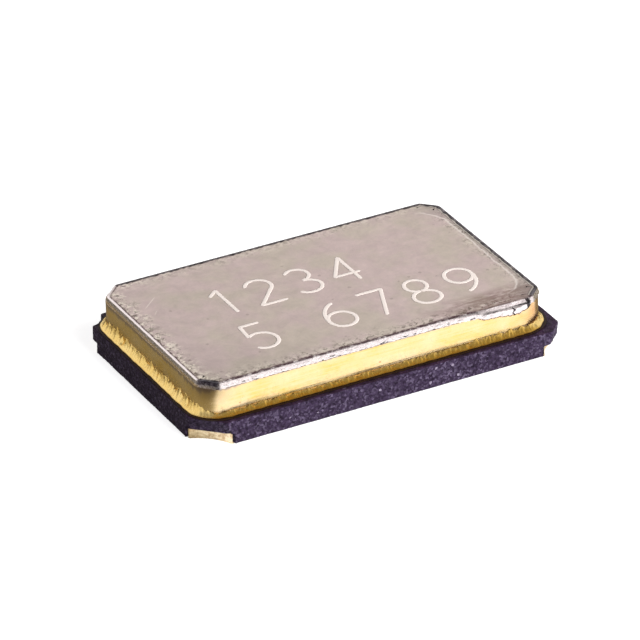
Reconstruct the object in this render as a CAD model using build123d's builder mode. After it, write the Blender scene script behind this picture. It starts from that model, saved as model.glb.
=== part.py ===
"""A surface-mount quartz crystal resonator in a seam-welded ceramic package.

A two-layer ceramic base carries a brazed metal frame and a welded lid. Inside, a bevelled quartz
blank with two film electrodes is glued by one end to two pads, which buried conductors join to the
corner terminals. Millimetres, +X along the package, +Z up, origin under its centre on the board.
"""

import os
from math import sqrt

from build123d import *

# Package outline
LENGTH = 5.0
WIDTH = 3.2

# Ceramic base
LOWER_THICK = 0.14
UPPER_THICK = 0.175
UPPER_CORNER_CUT = 0.28  # slanted corners, from the corner along each side
UPPER_CORNER_ROUNDING = 0.08
CASTELLATION_CUT = 0.38  # how far along each side a corner hollow starts
CASTELLATION_SAGITTA = 0.05  # how far the hollow dips behind the straight cut
LEDGE_MARGIN = 0.01  # bare ceramic between the braze and the cavity's edge
CAVITY_CORNER_RADIUS = 0.2

# Terminals
PAD_LENGTH = 1.15
PAD_WIDTH = 0.95
PAD_THICK = 0.015
PAD_MARGIN = 0.05  # pad edge to package edge
PAD_CORNER_RADIUS = 0.06
CASTELLATION_PLATING = 0.012

# Metal frame and its braze
METALLIZATION_THICK = 0.012
BRAZE_THICK = 0.012
BRAZE_FILLET = 0.055
BRAZE_FOOT = 0.035  # flat braze and metallized band beyond the outer fillet
BRAZE_INNER_FOOT = 0.005  # and beyond the inner fillet
FRAME_INSET = 0.155  # frame's outer face to the package edge
FRAME_WALL = 0.36
FRAME_HEIGHT = 0.361
FRAME_CORNER_RADIUS = 0.34
FRAME_INNER_RADIUS = 0.16

# Lid
LID_SETBACK = 0.02  # lid edge to the frame's outer face
LID_THICK = 0.07
LID_CORNER_CUT = 0.19  # slanted corners, from the corner along each side
LID_CORNER_ROUNDING = 0.07
LID_EDGE_RADIUS = 0.032  # edge rolled down by the weld
TRACK_SETBACK = 0.036  # lid edge to the wheel track inside the weld bead
TRACK_WIDTH = 0.02
TRACK_DEPTH = 0.01

# Quartz blank
BLANK_THICK = 0.105
BLANK_END_THICK = 0.07
BEVEL_LENGTH = 0.45
BLANK_MOUNTED_GAP = 0.2  # mounted end to the cavity wall
BLANK_FREE_GAP = 0.33  # free end to the cavity wall
BLANK_SIDE_GAP = 0.14

# Electrodes
ELECTRODE_END_MARGIN = 0.6  # bare quartz at each end
ELECTRODE_SIDE_MARGIN = 0.225
ELECTRODE_FILM = 0.004
TAB_WIDTH = 0.36
TAB_WRAP = 0.3  # how far a tab returns along the opposite face

# Mounting of the blank
MOUNTING_PAD_LENGTH = 0.6
MOUNTING_PAD_WIDTH = 0.5
MOUNTING_PAD_THICK = 0.025
MOUNTING_PAD_WALL_GAP = 0.03
GLUE_GAP = 0.035  # pad to blank
DOT_RADIUS = 0.24
DOT_CAP = 0.035  # adhesive above the blank
DOT_ROUNDING = 0.13
DOT_INSET = 0.08  # dot centre to the blank's mounted end
DOT_SIDE_MARGIN = 0.055  # dot edge to the blank's long edge
REST_PAD_LENGTH = 0.3
REST_PAD_THICK = 0.04
REST_PAD_MARGIN = 0.1  # rest pad's far edge to the blank's free end
REST_PAD_SIDE_MARGIN = 0.275

# Buried conductors
TRACE_THICK = 0.012
TRACE_WIDTH = 0.2
VIA_RADIUS = 0.06
VIA_EDGE_GAP = 0.4  # via centre to the nearer sides of the package

# Heights of the stack, from the board up
CERAMIC_BOTTOM = PAD_THICK
FLOOR = CERAMIC_BOTTOM + LOWER_THICK
CERAMIC_TOP = FLOOR + UPPER_THICK
BRAZE_BOTTOM = CERAMIC_TOP + METALLIZATION_THICK
FRAME_BOTTOM = BRAZE_BOTTOM + BRAZE_THICK
FRAME_TOP = FRAME_BOTTOM + FRAME_HEIGHT
LID_TOP = FRAME_TOP + LID_THICK

# Corner hollows: a circle outside each corner, through both ends of the straight cut
HALF_CUT = CASTELLATION_CUT / sqrt(2)
CASTELLATION_RADIUS = (HALF_CUT**2 + CASTELLATION_SAGITTA**2) / (2 * CASTELLATION_SAGITTA)
CASTELLATION_OFFSET = (CASTELLATION_RADIUS - CASTELLATION_SAGITTA) / sqrt(2) - CASTELLATION_CUT / 2
HOLLOW_X = LENGTH / 2 + CASTELLATION_OFFSET
HOLLOW_Y = WIDTH / 2 + CASTELLATION_OFFSET

# Frame, braze, wall and lid outlines
BRAZE_REACH = BRAZE_FILLET + BRAZE_FOOT
BRAZE_INNER_REACH = BRAZE_FILLET + BRAZE_INNER_FOOT
WALL_LEDGE = BRAZE_INNER_REACH + LEDGE_MARGIN
FRAME_LENGTH = LENGTH - 2 * FRAME_INSET
FRAME_WIDTH = WIDTH - 2 * FRAME_INSET
FRAME_INNER_LENGTH = FRAME_LENGTH - 2 * FRAME_WALL
FRAME_INNER_WIDTH = FRAME_WIDTH - 2 * FRAME_WALL
CAVITY_LENGTH = FRAME_INNER_LENGTH - 2 * WALL_LEDGE
CAVITY_WIDTH = FRAME_INNER_WIDTH - 2 * WALL_LEDGE
LID_LENGTH = FRAME_LENGTH - 2 * LID_SETBACK
LID_WIDTH = FRAME_WIDTH - 2 * LID_SETBACK

# Blank, pads and dots, from the cavity's -X wall inwards
BLANK_LENGTH = CAVITY_LENGTH - BLANK_MOUNTED_GAP - BLANK_FREE_GAP
BLANK_WIDTH = CAVITY_WIDTH - 2 * BLANK_SIDE_GAP
BLANK_END = -CAVITY_LENGTH / 2 + BLANK_MOUNTED_GAP
BLANK_X = BLANK_END + BLANK_LENGTH / 2
MOUNT_X = -CAVITY_LENGTH / 2 + MOUNTING_PAD_WALL_GAP + MOUNTING_PAD_LENGTH / 2
MOUNT_Y = BLANK_WIDTH / 2 - DOT_SIDE_MARGIN - DOT_RADIUS
MOUNT_TOP = FLOOR + MOUNTING_PAD_THICK
BLANK_Z = MOUNT_TOP + GLUE_GAP + BLANK_THICK / 2
DOT_X = BLANK_END + DOT_INSET
DOT_HEIGHT = GLUE_GAP + BLANK_THICK + DOT_CAP
REST_X = BLANK_END + BLANK_LENGTH - REST_PAD_MARGIN - REST_PAD_LENGTH / 2
REST_PAD_WIDTH = BLANK_WIDTH - 2 * REST_PAD_SIDE_MARGIN
ELECTRODE_LENGTH = BLANK_LENGTH - 2 * ELECTRODE_END_MARGIN
ELECTRODE_WIDTH = BLANK_WIDTH - 2 * ELECTRODE_SIDE_MARGIN

# The traces run under the middle of the long walls, then turn 45 degrees to a corner hollow
TRACE_Y = (CAVITY_WIDTH + WIDTH) / 4
TRACE_TURN_X = HOLLOW_X - (HOLLOW_Y - TRACE_Y)

# Terminals are numbered anticlockwise from the -X -Y corner, seen from above
CORNERS = {1: (-1, -1), 2: (1, -1), 3: (1, 1), 4: (-1, 1)}


def cut_corner_hollows(radius):
    """Cut the corner hollows out of the sketch being drawn."""
    with GridLocations(2 * HOLLOW_X, 2 * HOLLOW_Y, 2, 2):
        Circle(radius, mode=Mode.SUBTRACT)


def slanted_plate(length, width, corner_cut, rounding):
    """Sketch a rectangle with slanted corners, rounded where each slant meets a side."""
    x, y = length / 2, width / 2
    quarter = [(x, y - corner_cut), (x - corner_cut, y)]
    half = quarter + [(-px, py) for px, py in reversed(quarter)]
    with BuildLine() as rim:
        FilletPolyline(*half, *[(-px, -py) for px, py in half], radius=rounding, close=True)
    return make_face(rim.line)


def finish(piece, name):
    """Label a finished piece and write its file."""
    piece.part.label = name
    export_step(piece.part, f"parts/{name}.step")


os.makedirs("parts", exist_ok=True)

# --- Buried conductors, printed on the lower ceramic layer before it is stacked ---


def draw_strip(points):
    """Sketch a printed strip along the points, ending at the wall of a corner hollow."""
    with BuildLine() as route:
        Polyline(*points)
    trace(route.line, line_width=TRACE_WIDTH)
    cut_corner_hollows(CASTELLATION_RADIUS)


crystal_traces = []
for number, side_x, side_y in ((1, -1, -1), (2, 1, 1)):
    with BuildPart() as crystal_trace:
        with BuildSketch(Plane.XY.offset(FLOOR)):
            draw_strip(
                [
                    (MOUNT_X, side_y * MOUNT_Y),
                    (MOUNT_X, side_y * TRACE_Y),
                    (side_x * TRACE_TURN_X, side_y * TRACE_Y),
                    (side_x * HOLLOW_X, side_y * HOLLOW_Y),
                ]
            )
        extrude(amount=-TRACE_THICK)
    crystal_traces.append(crystal_trace)
    finish(crystal_trace, f"crystal_trace_{number}")

ground_links = []
for number, side_x, side_y in ((1, 1, -1), (2, -1, 1)):
    via_x = side_x * (LENGTH / 2 - VIA_EDGE_GAP)
    via_y = side_y * (WIDTH / 2 - VIA_EDGE_GAP)
    with BuildPart() as ground_link:
        with BuildSketch(Plane.XY.offset(FLOOR)):
            draw_strip([(via_x, via_y), (side_x * HOLLOW_X, side_y * HOLLOW_Y)])
            with Locations((via_x, via_y)):
                Circle(TRACE_WIDTH / 2)
        extrude(amount=-TRACE_THICK)
        with BuildSketch(Plane.XY.offset(FLOOR)):
            with Locations((via_x, via_y)):
                Circle(VIA_RADIUS)
        extrude(amount=UPPER_THICK)
    ground_links.append(ground_link)
    finish(ground_link, f"ground_link_{number}")

# --- Ceramic base: lower layer with corner hollows, upper layer with the cavity ---

with BuildPart() as ceramic_base:
    with BuildSketch(Plane.XY.offset(CERAMIC_BOTTOM)):
        Rectangle(LENGTH, WIDTH)
        cut_corner_hollows(CASTELLATION_RADIUS)
    extrude(amount=LOWER_THICK)
    with BuildSketch(Plane.XY.offset(FLOOR)):
        slanted_plate(LENGTH, WIDTH, UPPER_CORNER_CUT, UPPER_CORNER_ROUNDING)
        RectangleRounded(CAVITY_LENGTH, CAVITY_WIDTH, CAVITY_CORNER_RADIUS, mode=Mode.SUBTRACT)
    extrude(amount=UPPER_THICK)
    for conductor in crystal_traces + ground_links:
        add(conductor.part, mode=Mode.SUBTRACT)
finish(ceramic_base, "ceramic_base")

# --- Terminals: a pad under each corner, and the plating up its hollow ---

for number, (side_x, side_y) in CORNERS.items():
    pad_x = side_x * (LENGTH / 2 - PAD_MARGIN - PAD_LENGTH / 2)
    pad_y = side_y * (WIDTH / 2 - PAD_MARGIN - PAD_WIDTH / 2)
    with BuildPart() as terminal:
        with BuildSketch():
            with Locations((pad_x, pad_y)):
                RectangleRounded(PAD_LENGTH, PAD_WIDTH, PAD_CORNER_RADIUS)
            cut_corner_hollows(CASTELLATION_RADIUS - CASTELLATION_PLATING)
        extrude(amount=PAD_THICK)
        with BuildSketch():
            with Locations((side_x * HOLLOW_X, side_y * HOLLOW_Y)):
                Circle(CASTELLATION_RADIUS)
            Rectangle(LENGTH, WIDTH, mode=Mode.INTERSECT)
            cut_corner_hollows(CASTELLATION_RADIUS - CASTELLATION_PLATING)
        extrude(amount=FLOOR)
    finish(terminal, f"terminal_{number}")

# --- Seal: metallized band, metal frame, braze with its fillets, and the welded lid ---


def band(reach, inner_reach):
    """Sketch the frame's outline, widened outwards and inwards."""
    RectangleRounded(FRAME_LENGTH + 2 * reach, FRAME_WIDTH + 2 * reach, FRAME_CORNER_RADIUS + reach)
    RectangleRounded(
        FRAME_INNER_LENGTH - 2 * inner_reach,
        FRAME_INNER_WIDTH - 2 * inner_reach,
        FRAME_INNER_RADIUS,
        mode=Mode.SUBTRACT,
    )


with BuildPart() as seal_metallization:
    with BuildSketch(Plane.XY.offset(CERAMIC_TOP)):
        band(BRAZE_REACH, BRAZE_INNER_REACH)
    extrude(amount=METALLIZATION_THICK)
finish(seal_metallization, "seal_metallization")

with BuildPart() as seal_ring:
    with BuildSketch(Plane.XY.offset(FRAME_BOTTOM)):
        band(0, 0)
    extrude(amount=FRAME_HEIGHT)
finish(seal_ring, "seal_ring")

with BuildPart() as braze_joint:
    with BuildSketch(Plane.XY.offset(BRAZE_BOTTOM)):
        band(BRAZE_REACH, BRAZE_INNER_REACH)
    extrude(amount=BRAZE_THICK)
    add(seal_ring.part)
    foot_edges = braze_joint.edges().filter_by_position(Axis.Z, FRAME_BOTTOM, FRAME_BOTTOM)
    fillet(foot_edges.filter_by(Edge.is_interior), BRAZE_FILLET)
    add(seal_ring.part, mode=Mode.SUBTRACT)
finish(braze_joint, "braze_joint")

with BuildPart() as lid:
    with BuildSketch(Plane.XY.offset(FRAME_TOP)):
        lid_plate = slanted_plate(LID_LENGTH, LID_WIDTH, LID_CORNER_CUT, LID_CORNER_ROUNDING)
    extrude(amount=LID_THICK)
    fillet(lid.faces().sort_by(Axis.Z)[-1].edges(), LID_EDGE_RADIUS)
    with BuildSketch(Plane.XY.offset(LID_TOP)):
        offset(lid_plate, -TRACK_SETBACK)
        offset(lid_plate, -TRACK_SETBACK - TRACK_WIDTH, mode=Mode.SUBTRACT)
    extrude(amount=-TRACK_DEPTH, mode=Mode.SUBTRACT)
finish(lid, "lid")

# --- Resonator: bevelled quartz blank, film electrodes, pads and adhesive ---

BLANK_PLANE = Plane(origin=(BLANK_X, 0, BLANK_Z), x_dir=(1, 0, 0), z_dir=(0, -1, 0))


def blank_profile(film):
    """Sketch the blank seen from its long side, grown by a film's thickness."""
    with BuildLine() as outline:
        Polyline(
            (0, BLANK_THICK / 2),
            (BLANK_LENGTH / 2 - BEVEL_LENGTH, BLANK_THICK / 2),
            (BLANK_LENGTH / 2, BLANK_END_THICK / 2),
            (BLANK_LENGTH / 2, 0),
        )
        mirror(about=Plane.XZ)
        mirror(about=Plane.YZ)
    face = make_face(outline.line, mode=Mode.PRIVATE)
    if film:
        offset(face, film, kind=Kind.INTERSECTION)
    else:
        add(face)


with BuildPart() as quartz_blank:
    with BuildSketch(BLANK_PLANE):
        blank_profile(0)
    extrude(amount=BLANK_WIDTH / 2, both=True)
finish(quartz_blank, "quartz_blank")

# Each film covers the middle of one face, and its tab wraps the mounted end above one pad
films = []
for name, face_side, tab_side in (("upper_electrode", 1, 1), ("lower_electrode", -1, -1)):
    tab_length = BLANK_LENGTH / 2 + ELECTRODE_FILM
    tab_y = tab_side * MOUNT_Y
    with BuildPart() as stencil:
        with BuildSketch(Plane((BLANK_X, 0, BLANK_Z))):
            Rectangle(ELECTRODE_LENGTH, ELECTRODE_WIDTH)
            with Locations((0, tab_y)):
                Rectangle(tab_length, TAB_WIDTH, align=(Align.MAX, Align.CENTER))
        extrude(amount=face_side * BLANK_THICK)
        with BuildSketch(Plane((BLANK_X, 0, BLANK_Z))):
            with Locations((-tab_length, tab_y)):
                Rectangle(TAB_WRAP, TAB_WIDTH, align=(Align.MIN, Align.CENTER))
        extrude(amount=BLANK_THICK, both=True)
    with BuildPart() as film:
        with BuildSketch(BLANK_PLANE):
            blank_profile(ELECTRODE_FILM)
        extrude(amount=BLANK_WIDTH / 2, both=True)
        add(stencil.part, mode=Mode.INTERSECT)
        add(quartz_blank.part, mode=Mode.SUBTRACT)
    films.append(film)
    finish(film, name)

for number, side_y in ((1, -1), (2, 1)):
    pad_y = side_y * MOUNT_Y
    with BuildPart() as mounting_pad:
        with BuildSketch(Plane((MOUNT_X, pad_y, FLOOR))):
            Rectangle(MOUNTING_PAD_LENGTH, MOUNTING_PAD_WIDTH)
        extrude(amount=MOUNTING_PAD_THICK)
    finish(mounting_pad, f"mounting_pad_{number}")

    with BuildPart() as adhesive_dot:
        with BuildSketch(Plane((DOT_X, pad_y, MOUNT_TOP))):
            Circle(DOT_RADIUS)
        extrude(amount=DOT_HEIGHT)
        fillet(adhesive_dot.edges().sort_by(Axis.Z)[-1], DOT_ROUNDING)
        for held in [quartz_blank] + films:
            add(held.part, mode=Mode.SUBTRACT)
    finish(adhesive_dot, f"adhesive_dot_{number}")

with BuildPart() as rest_pad:
    with BuildSketch(Plane((REST_X, 0, FLOOR))):
        Rectangle(REST_PAD_LENGTH, REST_PAD_WIDTH)
    extrude(amount=REST_PAD_THICK)
finish(rest_pad, "rest_pad")
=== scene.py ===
# %% [markdown]
# # A surface-mount quartz resonator, dressed for a close-up
#
# The real part is five millimetres long: a black ceramic base, a gold-plated metal frame brazed on
# top of it, and a thin metal lid whose edge a pair of wheels has welded down. This lesson loads the
# measured model as a fixed frame, makes finer surfaces for the pieces that show, and gives every
# piece a finish worked out by nodes.

from math import cos, pi, radians, sin

import bpy
import numpy as np
from mathutils import Matrix, Vector


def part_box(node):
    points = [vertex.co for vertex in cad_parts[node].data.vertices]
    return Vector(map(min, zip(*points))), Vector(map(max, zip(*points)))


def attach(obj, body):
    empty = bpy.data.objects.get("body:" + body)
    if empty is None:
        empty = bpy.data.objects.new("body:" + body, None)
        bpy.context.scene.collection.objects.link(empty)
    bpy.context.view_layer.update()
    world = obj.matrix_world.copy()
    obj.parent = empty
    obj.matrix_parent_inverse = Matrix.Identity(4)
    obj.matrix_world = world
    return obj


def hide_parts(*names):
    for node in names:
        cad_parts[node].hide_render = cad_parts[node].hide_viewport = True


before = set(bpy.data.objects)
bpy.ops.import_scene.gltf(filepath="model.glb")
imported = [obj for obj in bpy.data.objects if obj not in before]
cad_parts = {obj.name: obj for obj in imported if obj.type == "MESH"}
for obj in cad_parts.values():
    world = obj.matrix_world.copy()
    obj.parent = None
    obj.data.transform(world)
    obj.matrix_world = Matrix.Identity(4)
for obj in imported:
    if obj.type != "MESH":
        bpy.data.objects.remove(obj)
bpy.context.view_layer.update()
print("solids in the frame:", len(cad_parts))

# %% [markdown]
# ## Sizes
#
# Blender works in metres, but this part is easier to think about in millimetres, so every size below
# is in millimetres and becomes metres only when a mesh is made. Places come from the frame itself:
# the box of each solid says where it starts and ends. Only what a box cannot say, such as a corner's
# radius, is written down here.

# %% Sizes in millimetres
MM = 0.001


def solid_box(node):
    """Lowest and highest corner of a solid in the frame, in millimetres."""
    low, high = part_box(node)
    return np.array(low) / MM, np.array(high) / MM


base_low, base_high = solid_box("ceramic_base")
LENGTH, WIDTH = base_high[:2] * 2
PAD_TOP, CERAMIC_TOP = base_low[2], base_high[2]
LAYER_SPLIT = solid_box("terminal_1")[1][2]
BRAZE_BOTTOM = solid_box("seal_metallization")[1][2]
ring_low, ring_high = solid_box("seal_ring")
RING_LENGTH, RING_WIDTH = ring_high[:2] * 2
RING_BOTTOM, RING_TOP = ring_low[2], ring_high[2]
lid_high = solid_box("lid")[1]
LID_LENGTH, LID_WIDTH = lid_high[:2] * 2
LID_TOP = lid_high[2]
print("package", LENGTH.round(3), "by", WIDTH.round(3), "by", LID_TOP.round(3), "mm")

# %% [markdown]
# ## Outlines
#
# Seen from above, every piece is a rectangle whose corners are rounded, slanted or hollowed. Each
# corner is an array of points with the outward direction at each point, and one function joins four
# corners with straight sides. All outlines have the same number of points in the same order, so a
# surface can run from one outline to another: the corners stay corners and the sides stay sides.

# %% Corners and outlines
CORNER_STEPS = 34
BEND_STEPS = 11  # of a slanted corner's points, those in each of its two bends
SIDE_STEPS = (330, 190)  # along the long and the short sides
QUARTERS = ((1, 1), (-1, 1), (-1, -1), (1, -1))


def mirrored_corner(side, points, outward):
    """Moves a corner drawn at +X +Y to another quarter, still running anticlockwise."""
    turned = slice(None, None, side[0] * side[1])
    return points[turned] * side, outward[turned] * side


def join_corners(corners):
    """Closes four corners with straight sides.

    A side's point is its start plus a share of the way to the next corner, and the outward
    direction there is the side's own, a right angle clockwise from the way it runs.
    """
    points, outward = [], []
    for place, (arc_points, arc_outward) in enumerate(corners):
        start, end = arc_points[-1], corners[(place + 1) % 4][0][0]
        share = np.linspace(0, 1, SIDE_STEPS[place % 2] + 1)[1:-1, None]
        run = (end - start) / np.linalg.norm(end - start)
        points += [arc_points, start + share * (end - start)]
        outward += [arc_outward, np.tile([run[1], -run[0]], (len(share), 1))]
    return np.concatenate(points), np.concatenate(outward)


def spokes(first, last, steps):
    """Unit vectors (cos a, sin a) between two angles in degrees."""
    angle = np.radians(np.linspace(first, last, steps + 1))
    return np.stack([np.cos(angle), np.sin(angle)], 1)


def rounded_outline(length, width, radius):
    """A rectangle whose corners are quarter circles: centre plus radius times (cos a, sin a)."""
    outward = spokes(0, 90, CORNER_STEPS)
    points = np.array([length / 2 - radius, width / 2 - radius]) + radius * outward
    return join_corners([mirrored_corner(side, points, outward) for side in QUARTERS])


def slanted_outline(length, width, cuts, radius, dips=(0, 0, 0, 0)):
    """A rectangle whose corners are cut off along a slant, each by its own cut along the sides.

    Each end of the slant is an eighth of a circle, whose centre lies one radius inside the side
    and radius * tan(22.5 degrees) before the bend. A slant may be dented: it lies back by
    dip * sin(pi * share of its length).
    """
    lead = radius * np.tan(pi / 8)
    bends = spokes(0, 45, BEND_STEPS), spokes(45, 90, BEND_STEPS)
    slant_steps = CORNER_STEPS - 2 * BEND_STEPS
    corners = []
    for side, cut, dip in zip(QUARTERS, cuts, dips):
        first = np.array([length / 2 - radius, width / 2 - cut - lead]) + radius * bends[0]
        last = np.array([length / 2 - cut - lead, width / 2 - radius]) + radius * bends[1]
        share = np.linspace(0, 1, slant_steps + 1)[1:-1, None]
        slant = first[-1] + share * (last[0] - first[-1]) - dip * np.sin(pi * share) * bends[1][0]
        straight = np.tile(bends[1][0], (len(slant), 1))
        points = np.concatenate([first, slant, last])
        corners.append(mirrored_corner(side, points, np.concatenate([bends[0], straight, bends[1]])))
    return join_corners(corners)


def hollow_arc(side, growth, margin=0.0):
    """A corner hollow: the part of its circle inside the package less a margin.

    The circle's centre lies outside the corner, on its diagonal. The circle passes through both
    ends of a straight cut and dips behind it, and growth makes it larger. The solid's outward
    direction points at the centre.
    """
    cut, dip = HOLLOWS[side]
    radius = (cut**2 / 2 + dip**2) / (2 * dip)
    beyond = (radius - dip) / np.sqrt(2) - cut / 2
    centre = np.array([LENGTH, WIDTH]) / 2 + beyond
    radius = radius + growth
    reach = beyond + margin
    bend = np.degrees(np.arcsin(reach / radius))
    spoke = spokes(270 - bend, 180 + bend, CORNER_STEPS)
    return mirrored_corner(side, centre + radius * spoke, -spoke)


# %% [markdown]
# ## Corners of the ceramic
#
# The parts are snapped from a sheet a little off the punched holes, so each corner has its own cut
# along the sides, and its own dip behind the straight cut. All are in the order of QUARTERS. A slant
# that grows downwards and one that is dented come from the same uneven break.

# %% Cuts of the ceramic's corners
HOLLOWS = dict(zip(QUARTERS, ((0.30, 0.05), (0.36, 0.05), (0.445, 0.075), (0.315, 0.05))))
SLANT_CUTS_TOP = (0.22, 0.25, 0.345, 0.19)  # of the upper ceramic sheet
SLANT_CUTS_LOW = (0.24, 0.25, 0.405, 0.22)
SLANT_DENTS = (0, 0.055, 0, 0)
SLANT_ROUNDING = 0.07
print("cuts of the corner hollows:", [cut for cut, _ in HOLLOWS.values()])

# %% [markdown]
# ## Profiles
#
# The other half of each shape is its profile: how far out from the outline and how high. A profile
# is drawn with a few corners, and each corner is rounded by a small curve, because no edge on a
# fired, plated or welded part is sharp, and a rounded edge is what catches the light.

# %% Profile helpers
ROUNDING_STEPS = 5


def length_along(line):
    """Length along a line at each of its points."""
    return np.concatenate([[0], np.cumsum(np.linalg.norm(np.diff(line, axis=0), axis=1))])


def at_stops(line, stops):
    """Points of a line at given lengths along it."""
    return np.stack([np.interp(stops, length_along(line), line[:, k]) for k in (0, 1)], 1)


def rounded_profile(corners, spacing=0.02, rows=None):
    """Rounds an open profile given as rows of (out, height, radius), then adds points to its runs.

    Near a corner P the line follows (1-t)^2 A + 2t(1-t) P + t^2 B, where A and B lie on the two
    neighbouring runs, one radius away. Extra points come at even steps of the length along it. With
    rows given, the whole line is that many points at even steps, so that two profiles can be mixed.
    """
    corners = np.array(corners, float)
    corners, radii = corners[:, :2], corners[1:-1, 2:]
    before = np.diff(corners, axis=0)
    unit = before / np.linalg.norm(before, axis=1, keepdims=True)
    inner = corners[1:-1]
    start, end = inner - unit[:-1] * radii, inner + unit[1:] * radii
    t = np.linspace(0, 1, ROUNDING_STEPS)[None, :, None]
    curve = (1 - t) ** 2 * start[:, None] + 2 * t * (1 - t) * inner[:, None] + t**2 * end[:, None]
    line = np.concatenate([corners[:1], curve.reshape(-1, 2), corners[-1:]])
    along = length_along(line)
    if rows:
        return at_stops(line, np.linspace(0, along[-1], rows))
    even = np.linspace(0, along[-1], int(along[-1] / spacing) + 2)
    gap_to_line = np.abs(even[:, None] - along[None]).min(1)
    return at_stops(line, np.sort(np.concatenate([along, even[gap_to_line > spacing / 3]])))


def sweep(outline, profile, shift=0.0, lift=0.0):
    """Carries a profile round an outline: a point is the outline's point plus out times outward.

    A profile is rows of (out, height), or rows and columns of them where it changes round the
    outline. shift and lift are added to out and height, and may change round the outline too.
    """
    points, outward = outline
    profile = profile if profile.ndim == 3 else profile[:, None]
    shape = (len(profile), len(points))
    out = np.broadcast_to(profile[..., 0] + shift, shape)
    height = np.broadcast_to(profile[..., 1] + lift, shape)
    plan = points[None] + out[..., None] * outward[None]
    return np.dstack([plan, height])


def spread(outline, shares, height):
    """Fills a flat face: the outline shrunk to each share of its size, at one height."""
    plan = outline[0][None] * np.asarray(shares, float)[:, None, None]
    return np.dstack([plan, np.full(plan.shape[:2], height)])


# %% [markdown]
# ## Small irregularities
#
# A weld bead ripples, braze wets the wall unevenly and ceramic snaps with a ragged edge. All of them
# are a sum of many small waves with whole numbers of turns round the piece, so that the pattern
# closes on itself where the outline ends. The waves come from a seeded draw, so the piece is the
# same every time.

# %% Waves round a piece


def way_round(outline):
    """Share of the way round an outline at each of its points, from 0 to just under 1."""
    steps = np.linalg.norm(np.diff(outline[0], axis=0, append=outline[0][:1]), axis=1)
    return np.concatenate([[0], np.cumsum(steps)[:-1]]) / steps.sum()


def waves(share, height, turns, rise, count, seed):
    """Adds `count` plane waves: sin(2 pi (turns * share + rise * height) + start).

    turns is the range of whole turns round the piece, rise the range of waves per millimetre of
    height. The result has a spread of about one.
    """
    draw = np.random.default_rng(seed)
    round_it = draw.integers(turns[0], turns[1] + 1, count)
    upwards = draw.uniform(-rise, rise, count)
    start = draw.uniform(0, 2 * pi, count)
    phase = 2 * pi * (round_it * share[..., None] + upwards * height[..., None]) + start
    return np.sin(phase).sum(-1) * np.sqrt(2 / count)


def ripples(share, turns, count, seed):
    """Waves that only run round the piece and don't change with height."""
    return waves(share, share, turns, 0, count, seed)


def smooth_step(low, high, value):
    """0 below low, 1 above high, and 3t^2 - 2t^3 between them."""
    t = np.clip((value - low) / (high - low), 0, 1)
    return t * t * (3 - 2 * t)


# %% [markdown]
# ## From a grid to a mesh
#
# A closed skin is a grid whose columns meet at the seam. Its two ends are closed by a fan to one
# point, or, for a ring, the last row meets the first. To be sure that every face points outwards,
# the volume is added up: it comes out negative when the skin is inside out, and then the faces are
# turned round.

# %% Mesh helpers


def grid_faces(rows, columns, ring):
    """Four-sided faces between neighbouring rows and columns; a ring's last row meets its first."""
    index = np.arange(rows * columns).reshape(rows, columns)
    upper = index if ring else index[:-1]
    lower = np.roll(index, -1, 0) if ring else index[1:]
    quads = np.stack([upper, lower, np.roll(lower, -1, 1), np.roll(upper, -1, 1)], -1)
    return quads.reshape(-1, 4)


def closed_skin(grid, ring=False):
    """Points and triangles of a closed skin over a grid of points."""
    rows, columns = grid.shape[:2]
    points = grid.reshape(-1, 3)
    quads = grid_faces(rows, columns, ring)
    faces = [quads[:, [0, 1, 2]], quads[:, [0, 2, 3]]]
    if not ring:
        first, last = np.arange(columns), np.arange(columns) + (rows - 1) * columns
        poles = np.array([grid[0].mean(0), grid[-1].mean(0)])
        top, bottom = np.full(columns, len(points)), np.full(columns, len(points) + 1)
        points = np.concatenate([points, poles])
        faces += [np.stack([top, first, np.roll(first, -1)], 1)]
        faces += [np.stack([bottom, np.roll(last, -1), last], 1)]
    faces = np.concatenate(faces)
    a, b, c = (points[faces[:, k]] for k in range(3))
    if np.einsum("ij,ij->i", a, np.cross(b, c)).sum() < 0:
        faces = faces[:, ::-1]
    return points, faces


def make_piece(name, skins, replaces=(), marks=None):
    """Makes one object from closed skins in millimetres, with marks as attributes of its points."""
    starts = np.cumsum([0] + [len(points) for points, _ in skins])
    points = np.concatenate([points for points, _ in skins])
    faces = np.concatenate([faces + start for (_, faces), start in zip(skins, starts)])
    mesh = bpy.data.meshes.new(name)
    mesh.vertices.add(len(points))
    mesh.vertices.foreach_set("co", (points * MM).ravel())
    mesh.loops.add(faces.size)
    mesh.loops.foreach_set("vertex_index", faces.ravel().astype(np.int32))
    mesh.polygons.add(len(faces))
    mesh.polygons.foreach_set("loop_start", np.arange(0, faces.size, 3, dtype=np.int32))
    mesh.update(calc_edges=True)
    mesh.shade_smooth()
    for mark, values in (marks or {}).items():
        layer = mesh.attributes.new(mark, "FLOAT", "POINT")
        layer.data.foreach_set("value", values.astype(np.float32))
    piece = bpy.data.objects.new(name, mesh)
    bpy.context.scene.collection.objects.link(piece)
    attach(piece, "root")
    if replaces:
        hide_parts(*replaces)
    print(f"{name}: {len(faces)} triangles")
    return piece


def pole_mark(rows):
    """A mark for each point of a capped skin: the grid's own, then one for each pole."""
    return np.concatenate([rows.ravel(), [rows[0].mean(), rows[-1].mean()]])
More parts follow.
